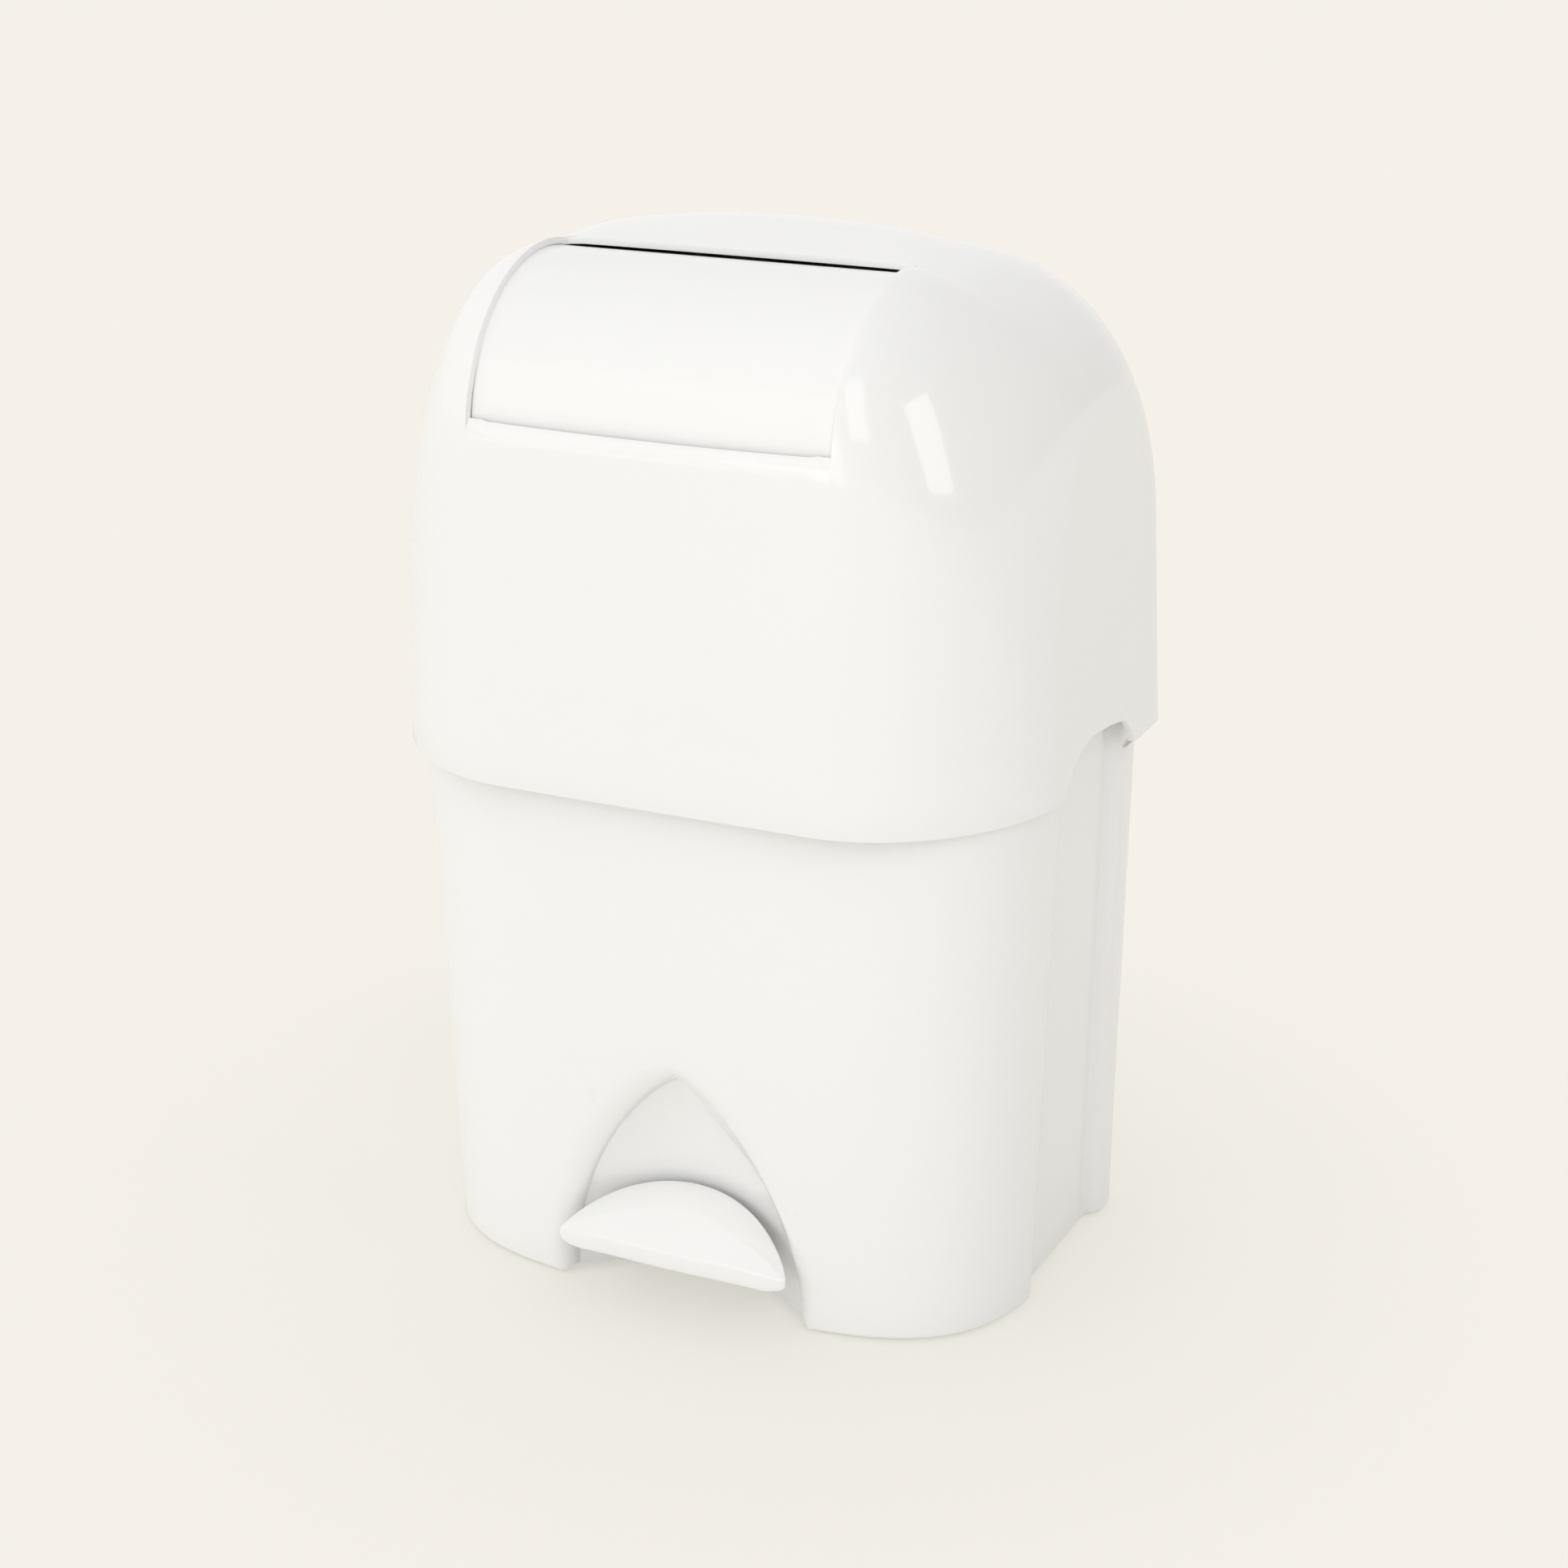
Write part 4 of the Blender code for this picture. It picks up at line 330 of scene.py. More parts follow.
# %% [markdown]
# ## Blocks, bars and slabs
#
# Ribs, pins, bosses and webs are boxes and rods, and a wall of a drum is a plate with a curved
# outline. Each of them starts from one operator at the origin and is moved inside its mesh, so
# that the object itself stays at the origin.

# %% Helpers: simple forms
def block(name, low, high):
    """A box between two corners."""
    bm = bmesh.new()
    low, high = Vector(low), Vector(high)
    bmesh.ops.create_cube(bm, size=1.0)
    bmesh.ops.scale(bm, verts=bm.verts, vec=high - low)
    bmesh.ops.translate(bm, verts=bm.verts, vec=(low + high) / 2.0)
    return raw_piece(name, bm)


def bar(name, start, end, radius, segments=24):
    """A round bar between two points."""
    bm = bmesh.new()
    start, end = Vector(start), Vector(end)
    turn = (end - start).to_track_quat("Z", "Y").to_matrix().to_4x4()
    bmesh.ops.create_cone(bm, cap_ends=True, segments=segments, radius1=radius, radius2=radius,
                          depth=(end - start).length)
    bmesh.ops.transform(bm, verts=bm.verts, matrix=Matrix.Translation((start + end) / 2.0) @ turn)
    return raw_piece(name, bm)


def standing_slab(name, outline, low_x, high_x, round_off=0.0):
    """A plate of an outline in Y and Z, from low_x to high_x."""
    bm = bmesh.new()
    face = bm.faces.new([bm.verts.new((low_x, y, z)) for y, z in outline])
    if round_off > 0.0:
        bmesh.ops.bevel(bm, geom=list(bm.verts), affect="VERTICES", offset=round_off, segments=4,
                        profile=0.5, material=-1)
        face = bm.faces[:][0]
    grown = bmesh.ops.extrude_face_region(bm, geom=[face])
    moved = [part for part in grown["geom"] if isinstance(part, bmesh.types.BMVert)]
    bmesh.ops.translate(bm, verts=moved, vec=(high_x - low_x, 0.0, 0.0))
    bmesh.ops.recalc_face_normals(bm, faces=bm.faces)
    return raw_piece(name, bm)


print("helpers for blocks, bars and slabs")

# %% [markdown]
# ## Curves that the shells share
#
# Moulded shells have corners that are rounder than a square and squarer than a circle. A
# superellipse gives them, and an eased step blends one stretch of a wall into the next.

# %% Curve helpers
sides = (("left", -1.0), ("right", 1.0))


def between(low, high, share):
    return low + (high - low) * share


def ease(share):
    share = min(1.0, max(0.0, share))
    return share * share * (3.0 - 2.0 * share)


def squared_round(angle, power):
    return math.sin(angle) ** (2.0 / power), max(0.0, math.cos(angle)) ** (2.0 / power)


def on_circle(centre, radius, angle_deg):
    angle = math.radians(angle_deg)
    return centre[0] + radius * math.cos(angle), centre[1] + radius * math.sin(angle)


print("halfway round a squared corner:", [round(part, 3) for part in squared_round(math.pi / 4, 2.4)])

# %% [markdown]
# ## The hood's outer surface
#
# The hood is one moulded shell. Its side profile runs up the front, round the drum's arc, over
# the crown and down the back, and each of its corners runs out on the flat sides. A grid is
# bent over it: the grid's rows follow the profile, and its columns run from the middle plane
# round the corner to the middle of each side.

# %% Hood: stations of the side profile
hood_rim_z = 0.2380
hood_half = 0.1520
front_rim, front_window = 0.1068, 0.1090
drum_y, drum_z = -0.0397, 0.3819
arc_radius = 0.0693
crest_y, crest_z = 0.0070, 0.4496
crown, crown_half = 0.0069, 0.0875
back_y, back_z, back_power = 0.1103, 0.3278, 2.44
reach_front, reach_top, reach_back = 0.0772, 0.0740, 0.0284
corner_power = 1.857
side_front = (-0.0316, 0.2560)
side_crest = (0.0151, 0.3832)
side_back = (0.0790, 0.3352)
side_middle_z = 0.3560
slit_y = -0.0223
slit_deg = math.degrees(math.acos((slit_y - drum_y) / arc_radius))
side_turn_share = 0.85
front_rows, arc_rows, roof_rows, back_rows, low_rows = 8, 26, 5, 34, 11


def hood_stations():
    """Each station: y, z, the corner's reach, where it runs out on the side, and the crown."""
    rows = []
    for step in range(front_rows):
        share = step / front_rows
        rows.append((-between(front_rim, front_window, share), between(hood_rim_z, drum_z, share),
                     between(reach_front, reach_top, share),
                     side_front[0], between(hood_rim_z, side_front[1], share), 0.0))
    for step in range(arc_rows + 1):
        share = step / arc_rows
        y, z = on_circle((drum_y, drum_z), arc_radius, between(180.0, slit_deg, share))
        turn = math.pi / 2.0 * side_turn_share * share
        rows.append((y, z, reach_top,
                     side_crest[0] - (side_crest[0] - side_front[0]) * math.cos(turn),
                     between(side_front[1], side_crest[1], math.sin(turn)), 0.0))
    last = rows[-1]
    top = (crest_y, crest_z, reach_top, side_crest[0], side_crest[1], crown)
    for step in range(1, roof_rows):
        rows.append(tuple(between(low, high, step / roof_rows) for low, high in zip(last, top)))
    for step in range(back_rows + 1):
        share = step / back_rows
        angle = math.pi / 2.0 * share
        wide, high = squared_round(angle, back_power)
        rows.append((between(crest_y, back_y, wide), between(back_z, crest_z, high),
                     between(reach_top, reach_back, share),
                     between(side_crest[0], side_back[0], math.sin(angle)),
                     between(side_back[1], side_crest[1], math.cos(angle)), crown * high))
    for step in range(1, low_rows + 1):
        share = step / low_rows
        rows.append((back_y, between(back_z, hood_rim_z, share), reach_back,
                     side_back[0], between(side_back[1], hood_rim_z, share), 0.0))
    return rows


stations = hood_stations()
print("hood stations:", len(stations))

# %% [markdown]
# ## A grid bent over the stations
#
# A mould's sides lean in a little, so that the part comes out of it, and this hood's sides also
# draw in towards the front. Both are shares of the width. The front wall bows out a little in
# its middle. The grid operator gives clean quads, and moving its points gives the shape.

# %% Hood: where a grid point goes
draft_share, forward_share, widest_y, front_bow = 0.054, 0.055, 0.0640, 0.0013


def hood_narrow(y, z):
    """The sides draw in with height and towards the front."""
    draft = 1.0 - draft_share * (z - hood_rim_z) / (drum_z - hood_rim_z)
    forward = max(0.0, widest_y - y) / (widest_y + front_rim)
    return draft * (1.0 - forward_share * forward)


def hood_point(station, column):
    """Columns run from 0 in the middle to 1 at the corner's start and 2 at the side."""
    y, z, reach, side_y, side_z, lift = station
    start = hood_half - reach
    x = start * min(1.0, column)
    deep = 1.0
    if column > 1.0:
        wide, deep = squared_round(math.pi / 2.0 * (column - 1.0), corner_power)
        x = start + reach * wide
    middle = max(0.0, 1.0 - (x / crown_half) ** 2)
    across = max(0.0, 1.0 - (x / hood_half) ** 2)
    forward = ease((side_front[0] - y) / (front_rim + side_front[0]))
    y = between(side_y, y, deep) - front_bow * across * forward
    z = between(side_z, z, deep) + lift * middle
    return x, y, z


flat_steps, round_steps, side_steps = 7, 16, 5
hood_columns = [step / flat_steps for step in range(flat_steps)]
hood_columns += [1.0 + step / round_steps for step in range(round_steps + 1)]


def hood_grid_place(row, column):
    """Where a grid point goes; the last columns fill the flat side."""
    station = stations[row]
    side = -1.0 if column < 0 else 1.0
    count = abs(column)
    x, y, z = hood_point(station, hood_columns[min(count, len(hood_columns) - 1)])
    if count >= len(hood_columns):
        into = (count - len(hood_columns) + 1) / side_steps
        climb = 1.0 - abs(2.0 * row / (len(stations) - 1) - 1.0)
        y = between(y, (side_front[0] + side_back[0]) / 2.0, into)
        z = between(z, between(hood_rim_z, side_middle_z, climb), into)
        x = hood_half
    return side * x * hood_narrow(y, z), y, z


print("columns from the middle to a side:", len(hood_columns) - 1 + side_steps)

# %% Hood: the grid itself
weld, fine_weld = 0.00002, 0.00001
half_count = len(hood_columns) - 1 + side_steps
bm = bmesh.new()
bmesh.ops.create_grid(bm, x_segments=2 * half_count, y_segments=len(stations) - 1, size=1.0)
for vert in bm.verts:
    column = round(vert.co.x * half_count)
    row = round((vert.co.y + 1.0) / 2.0 * (len(stations) - 1))
    vert.co = hood_grid_place(row, column)
bmesh.ops.remove_doubles(bm, verts=bm.verts, dist=weld)
print("hood grid:", len(bm.verts), "points")

# %% [markdown]
# ## The window and the hood's wall
#
# The window is cut into the surface while it is still a sheet, by four planes, because a plane
# leaves a perfectly straight edge. The wall comes next, and then the grip notches, the soft
# sill and a small rounding of every sharp edge, which is what catches the light.

# %% Hood: cut the window
window_half, sill_z, hood_wall = 0.0782, 0.3912, 0.0028
margin, on_plane = 0.012, 0.000001
patch = [face for face in bm.faces
         if abs(face.calc_center_median().x) < window_half + margin
         and face.calc_center_median().y < slit_y + margin
         and face.calc_center_median().z > sill_z - margin]
parts = set(patch)
for face in patch:
    parts.update(face.edges)
    parts.update(face.verts)
parts = list(parts)
for place, direction in (((window_half, 0.0, 0.0), (1.0, 0.0, 0.0)),
                         ((-window_half, 0.0, 0.0), (1.0, 0.0, 0.0)),
                         ((0.0, slit_y, 0.0), (0.0, 1.0, 0.0)),
                         ((0.0, 0.0, sill_z), (0.0, 0.0, 1.0))):
    split = bmesh.ops.bisect_plane(bm, geom=parts, plane_co=place, plane_no=direction, dist=on_plane)
    parts = split["geom"]
gone = [face for face in bm.faces
        if abs(face.calc_center_median().x) < window_half
        and face.calc_center_median().y < slit_y and face.calc_center_median().z > sill_z]
bmesh.ops.delete(bm, geom=gone, context="FACES")
hood = raw_piece("hood_shell", bm)
wall(hood, hood_wall)
print("window faces taken out:", len(gone))

# %% Hood: sill, grip notches and soft edges
edge_round = 0.0005
sill_low, sill_high, clear_z = sill_z - 0.0083, sill_z + 0.0002, 0.4000
sill_front, sill_back, clear_y = -front_window - 0.0014, -front_window + 0.0030, -0.1200
slope = [(sill_front, sill_low), (sill_back, sill_high), (sill_back, clear_z), (clear_y, clear_z),
         (clear_y, sill_low)]
combine(hood, standing_slab("sill_cut", slope, -window_half, window_half))
notch_front, notch_back, notch_top, notch_round = -0.0245, 0.0535, 0.2555, 0.0012
notch_inner, notch_outer = 0.132, 0.172
notch_shares = ((0.0, -1.0), (0.0, 0.0), (0.04, 0.35), (0.09, 0.62), (0.22, 0.87), (0.35, 1.0),
                (0.60, 0.92), (0.80, 0.78), (0.87, 0.63), (0.92, 0.40), (0.98, 0.0), (1.0, -1.0))
notch = [(between(notch_front, notch_back, along), between(hood_rim_z, notch_top, up))
         for along, up in notch_shares]
for tag, side in sides:
    grip = standing_slab("grip_" + tag, notch, side * notch_inner, side * notch_outer, notch_round)
    combine(hood, grip)
soften_edges(hood, edge_round)
finished(hood, gloss_white, "white_plastic", "hood", "hood", angle_deg=34.0)
print("hood faces:", len(hood.data.polygons))

# %% [markdown]
# ## Inside the window and under the rim
#
# A cheek on each side of the window hides the drum's edge. Two pairs of ears at the back carry
# the hinge, and four posts inside take the screws of the cradle. They could be cut into the
# shell's own mesh, but as small pieces that touch the shell they look the same, and the large
# smooth surface keeps its clean grid.

# %% Hood: cheeks
cheek_end_deg, cheek_steps, cheek_thick = 176.0, 30, 0.0025
cheek_outer, cheek_inner = arc_radius - 0.0025, arc_radius - 0.0090
for tag, side in sides:
    band = [on_circle((drum_y, drum_z), cheek_outer, between(slit_deg, cheek_end_deg, step / cheek_steps))
            for step in range(cheek_steps + 1)]
    band += [on_circle((drum_y, drum_z), cheek_inner, between(cheek_end_deg, slit_deg, step / cheek_steps))
             for step in range(cheek_steps + 1)]
    cheek = standing_slab("window_cheek_" + tag, band, side * window_half,
                          side * (window_half + cheek_thick))
    finished(cheek, gloss_white, "white_plastic", "hood")
print("steps of a cheek:", cheek_steps)

# %% Hood: ears of the hinge and posts of the cradle
hinge_y, hinge_z, hinge_out, hinge_radius, pin_hole = 0.1050, 0.2310, 0.0720, 0.0040, 0.0018
ear_step, ear_half = 0.0103, 0.004
ear_bore_start, ear_bore_end = 0.05, 0.09
web_front, web_back, web_top = 0.1076, 0.1100, 0.2420
post_radius, post_low, post_high = 0.0050, 0.2691, 0.2890
screw_hole, hole_low, hole_high = 0.0015, 0.26, 0.2760
for tag, side in sides:
    for number, step in enumerate((-1.0, 1.0)):
        middle = hinge_out + step * ear_step
        start, end = side * (middle - ear_half), side * (middle + ear_half)
        ear = bar("hinge_ear_%s_%d" % (tag, number), (start, hinge_y, hinge_z), (end, hinge_y, hinge_z),
                  hinge_radius)
        web_low, web_high = sorted((start, end))
        combine(ear, block("ear_web", (web_low, web_front, hinge_z), (web_high, web_back, web_top)), "UNION")
        combine(ear, bar("ear_bore", (side * ear_bore_start, hinge_y, hinge_z),
                         (side * ear_bore_end, hinge_y, hinge_z), pin_hole))
        finished(ear, gloss_white, "white_plastic", "hood")
    for name, x, y in (("front", 0.0600, -0.1025), ("side", 0.1425, 0.0660)):
        post = bar("hood_post_%s_%s" % (name, tag), (side * x, y, post_low), (side * x, y, post_high),
                   post_radius)
        combine(post, bar("post_bore", (side * x, y, hole_low), (side * x, y, hole_high), screw_hole))
        finished(post, gloss_white, "white_plastic", "hood")

# %% [markdown]
# ## The lower bin's walls
#
# The lower bin tapers towards the floor, and its sides have a shallow hollow in front of the
# rear pillars. A box that is scaled at its foot would taper, but it has no hollow and no round
# front. So a formula gives the plan at any height, and the walls will follow it.

# %% Bin: the plan at a height
foot_z, ledge_z, rim_top_z = 0.0010, 0.2300, 0.2560
foot_half, ledge_half = 0.1397, 0.1450
foot_front, ledge_front = 0.0870, 0.0980
foot_pillar, ledge_pillar = 0.1420, 0.1437
foot_back, ledge_back = 0.0975, 0.1005
bin_wall = 0.0028
soft_foot = 0.0024
bulge_centre, bulge_edge = 0.0337, -0.0220
width_power, depth_power = 3.6, 3.8
hollow_depth, hollow_run = 0.0058, 0.0140
pillar_front, pillar_start, pillar_run, pillar_round, pillar_gap = 0.0740, 0.0560, 0.0100, 0.0280, 0.0005
front_steps, side_count, corner_steps, back_steps = 44, 30, 12, 6


def bin_half_plan(share):
    """The right half of the plan, from the front's middle to the back's middle."""
    half = between(foot_half, ledge_half, share)
    reach = between(foot_front, ledge_front, share) + bulge_centre
    pillar = between(foot_pillar, ledge_pillar, share)
    back = between(foot_back, ledge_back, share)
    depth = (bulge_centre - bulge_edge) / reach
    last = math.asin(min(1.0, (1.0 - depth ** depth_power) ** 0.5))
    plan = []
    for step in range(front_steps + 1):
        angle = last * step / front_steps
        plan.append((half * math.sin(angle) ** (2.0 / width_power),
                     bulge_centre - reach * math.cos(angle) ** (2.0 / depth_power)))
    edge_x = plan[-1][0]
    for step in range(1, side_count + 1):
        y = between(bulge_edge, pillar_front, step / side_count)
        into = ease((y - bulge_edge) / hollow_run)
        out = ease((y - pillar_start) / pillar_run)
        plan.append((between(edge_x, pillar, step / side_count) - hollow_depth * (into - out), y))
    for step in range(corner_steps + 1):
        point = on_circle((pillar - pillar_round, back - pillar_round), pillar_round,
                          90.0 * step / corner_steps)
        if point[1] > pillar_front + pillar_gap:
            plan.append(point)
    corner_x = plan[-1][0]
    for step in range(1, back_steps + 1):
        plan.append((corner_x * (1.0 - step / back_steps), back))
    return plan


def bin_plan(height, inset=0.0):
    """The closed plan at a height, moved inwards by an inset."""
    half = bin_half_plan(min(1.0, (height - foot_z) / (ledge_z - foot_z)))
    plan = half + [(-x, y) for x, y in reversed(half[1:-1])]
    moved = []
    for index, (x, y) in enumerate(plan):
        before, after = plan[index - 1], plan[(index + 1) % len(plan)]
        run_x, run_y = after[0] - before[0], after[1] - before[1]
        run = math.hypot(run_x, run_y)
        moved.append((x - inset * run_y / run, y + inset * run_x / run))
    return moved


print("points in the plan:", len(bin_plan(foot_z)))

# %% [markdown]
# ## Walls from a climbing ring
#
# The walls start as a ring of points that is pushed onto the plan, extruded to the next level
# and pushed onto the plan there. The levels run down the inside, round the soft foot and up the
# outside, and a bridge at the rim closes the wall. Solidify could give the thickness, but this
# way the foot's rounding and the flat rim come with it.

# %% Bin: the walls
def climbed(ring, bm):
    """Extrude a ring of points by one level; the new ring keeps the order."""
    places = {vert: place for place, vert in enumerate(ring)}
    edges = [edge for edge in bm.edges if edge.verts[0] in places and edge.verts[1] in places]
    grown = bmesh.ops.extrude_edge_only(bm, edges=edges)
    upper = {}
    for vert in (part for part in grown["geom"] if isinstance(part, bmesh.types.BMVert)):
        below = next(edge.other_vert(vert) for edge in vert.link_edges if edge.other_vert(vert) in places)
        upper[places[below]] = vert
    return [upper[place] for place in range(len(ring))]


def raised_walls(levels, join_ends):
    """A ring of points on the plan, extruded from one level (z, inset) to the next and closed."""
    bm = bmesh.new()
    ring = bmesh.ops.create_circle(bm, segments=len(bin_plan(foot_z)), radius=1.0)["verts"]
    ring.sort(key=lambda vert: math.atan2(vert.co.y, vert.co.x))
    first = list(bm.edges)
    for number, (z, inset) in enumerate(levels):
        if number:
            ring = climbed(ring, bm)
        for vert, (x, y) in zip(ring, bin_plan(z, inset)):
            vert.co = (x, y, z)
    last = [edge for edge in bm.edges if edge.verts[0] in ring and edge.verts[1] in ring]
    if join_ends:
        bmesh.ops.bridge_loops(bm, edges=first + last)
    else:
        bmesh.ops.holes_fill(bm, edges=first + last)
    bmesh.ops.recalc_face_normals(bm, faces=bm.faces)
    return bm


inner_levels, foot_levels, outer_levels, rim_levels = 10, 5, 16, 3
section = [(between(rim_top_z, foot_z, step / inner_levels), bin_wall) for step in range(inner_levels + 1)]
for step in range(foot_levels + 1):
    angle = math.pi / 2.0 * step / foot_levels
    section.append((foot_z + soft_foot * (1.0 - math.cos(angle)), soft_foot * (1.0 - math.sin(angle))))
section += [(between(foot_z + soft_foot, ledge_z, step / outer_levels), 0.0)
            for step in range(1, outer_levels + 1)]
section += [(between(ledge_z, rim_top_z, step / rim_levels), 0.0) for step in range(1, rim_levels + 1)]
walls = raw_piece("bin_shell", raised_walls(section, True))
print("bin wall faces:", len(walls.data.polygons))

# %% [markdown]
# ## The toe hollow
#
# Over the pedal the front wall turns inwards to a hollow for the tip of a shoe. Its outline is
# a pointed arch, and its edge is rounded generously. One ring of points makes the whole form: it
# starts in front of the wall, narrows through the flare, and closes round the hollow's back. A
# cut with a stretched ball leaves a sharp edge, and no bevel is wide enough to soften it.

# %% Bin: points of the toe hollow
toe_half, toe_height, toe_power, toe_depth = 0.0545, 0.1085, 0.79, 0.0180
mouth_half, mouth_height, mouth_power, mouth_round = 0.0640, 0.1185, 0.59, 0.0085
mouth_ahead, below_floor = -0.02, -0.02
arch_steps, flare_steps, hollow_steps, chamfer_share = 40, 12, 16, 0.20


def front_y(x, z):
    """Where the front wall lies."""
    share = min(1.0, max(0.0, (z - foot_z) / (ledge_z - foot_z)))
    reach = between(foot_front, ledge_front, share) + bulge_centre
    aside = abs(x) / between(foot_half, ledge_half, share)
    return bulge_centre - reach * (1.0 - aside ** width_power) ** (1.0 / depth_power)


def toe_point(rise, out, depth, inwards, wall_thick):
    """Rise runs up the arch, out from the hollow to the front wall, and inwards over its back."""
    sine, cosine = squared_round(math.pi / 2.0 * rise, 2.0)
    narrow = cosine ** (2.0 * toe_power)
    x = between(toe_half * narrow, mouth_half * cosine ** (2.0 * mouth_power), out)
    z = between(toe_height, mouth_height, out) * sine
    deep = depth + (toe_depth * narrow + wall_thick) * inwards * (2.0 - inwards)
    return x * (1.0 - inwards), front_y(x, z) + deep, z


print("front wall at the arch's top, in mm:", round(1000.0 * front_y(0.0, mouth_height), 1))

# %% Bin: the form of the toe hollow
def toe_form(name, wall_thick):
    """The flare and the hollow as one closed form, grown by a wall."""
    rises = [0.0] + [step / arch_steps for step in range(arch_steps + 1)]
    bm = bmesh.new()
    ring = bmesh.ops.create_circle(bm, segments=2 * len(rises) - 1, radius=1.0)["verts"]
    ring.sort(key=lambda vert: math.atan2(vert.co.y, vert.co.x))
    first = list(bm.edges)
    radius = mouth_round - wall_thick
    levels = [(1.0, mouth_ahead, 0.0)]
    for step in range(flare_steps, -1, -1):
        share = step / flare_steps
        sine, cosine = squared_round(math.pi / 2.0 * share, 2.0)
        levels.append((1.0 - radius / mouth_round * between(cosine, 1.0 - share, chamfer_share),
                       mouth_round - radius * between(sine, share, chamfer_share), 0.0))
    levels += [(*levels[-1][:2], step / hollow_steps) for step in range(1, hollow_steps + 1)]
    for number, level in enumerate(levels):
        if number:
            ring = climbed(ring, bm)
        arch = [toe_point(rise, *level, wall_thick) for rise in rises]
        arch[0] = (arch[0][0], arch[0][1], below_floor)
        arch += [(-x, y, z) for x, y, z in reversed(arch[:-1])]
        for vert, place in zip(ring, arch):
            vert.co = place
    bmesh.ops.holes_fill(bm, edges=first)
    bmesh.ops.remove_doubles(bm, verts=bm.verts, dist=fine_weld)
    bmesh.ops.dissolve_degenerate(bm, edges=bm.edges, dist=fine_weld)
    bmesh.ops.triangulate(bm, faces=bm.faces)
    bmesh.ops.recalc_face_normals(bm, faces=bm.faces)
    return raw_piece(name, bm)


print("flare and hollow, levels:", flare_steps + 1, hollow_steps)

# %% [markdown]
# ## Joining the hollow to the walls
#
# The hollow has a wall like the rest of the moulding. A slightly larger form, kept only inside
# the skin, is joined to the walls, and the form itself is cut out of both. The gap for the lever
# and the step in each rear pillar, where a hand reaches under the hood, are cut last. Booleans
# do this well here, because all the forms are closed. Then the sharp edges are rounded.

# %% Bin: hollow, lever gap and pillar cuts
toe_wall, trim_wall = 0.0026, 0.0010
gap_half, gap_front, gap_back, gap_top = 0.0345, -0.0700, -0.0500, 0.0268
cut_inner, cut_outer, cut_front, cut_back, cut_top = 0.1424, 0.1580, 0.0460, 0.0880, 0.2760
skin_levels = [(between(foot_z + soft_foot, ledge_z, step / outer_levels), bin_wall / 2.0)
               for step in range(outer_levels)]
bowl = toe_form("toe_bowl", toe_wall)
combine(bowl, raw_piece("bin_skin", raised_walls(skin_levels, False)), "INTERSECT")
combine(walls, bowl, "UNION")
combine(walls, toe_form("toe_hollow", 0.0))
combine(walls, block("lever_gap", (-gap_half, gap_front, below_floor), (gap_half, gap_back, gap_top)))
for tag, side in sides:
    low_x, high_x = sorted((side * cut_inner, side * cut_outer))
    combine(walls, block("pillar_cut_" + tag, (low_x, cut_front, ledge_z), (high_x, cut_back, cut_top)))
soften_edges(walls, edge_round)
finished(walls, gloss_white, "white_plastic", "bin", "bin_body", angle_deg=34.0)
print("bin shell faces:", len(walls.data.polygons))

# %% [markdown]
# ## Under the bin and behind it
#
# The bin's floor lies well above the ground, so that the lever has room. Four posts carry the
# rubber feet, two ribs hold the pedal's axle, and two knuckles at the back take the hinge pins.
# The floor is one more slice of the bin's plan. The others are plain bars and blocks with their
# bores cut in, as only their seats are seen, and only from below or with the hood open.

# %% Bin: floor and posts
floor_z, floor_thick, into_floor = 0.0460, 0.0026, 0.001
rod_x, rod_y = 0.1200, 0.0060
bush_radius, bush_low, bush_high = 0.0063, 0.03, 0.06
leg_radius, plug_radius, plug_low, plug_high = 0.0085, 0.0053, -0.01, 0.0093
floor_levels = [(floor_z, bin_wall / 2.0), (floor_z + floor_thick, bin_wall / 2.0)]
floor = raw_piece("bin_floor", raised_walls(floor_levels, False))
combine(floor, toe_form("floor_trim", trim_wall))
combine(floor, bar("bush_seat", (rod_x, rod_y, bush_low), (rod_x, rod_y, bush_high), bush_radius))
finished(floor, gloss_white, "white_plastic", "bin")
for tag, side in sides:
    for name, x, y in (("front", 0.1080, -0.0440), ("back", 0.1180, 0.0720)):
        post = bar("bin_post_%s_%s" % (name, tag), (side * x, y, foot_z),
                   (side * x, y, floor_z + into_floor), leg_radius)
        combine(post, bar("plug_seat", (side * x, y, plug_low), (side * x, y, plug_high), plug_radius))
        finished(post, gloss_white, "white_plastic", "bin")
print("posts for the feet:", 2 * len(sides))

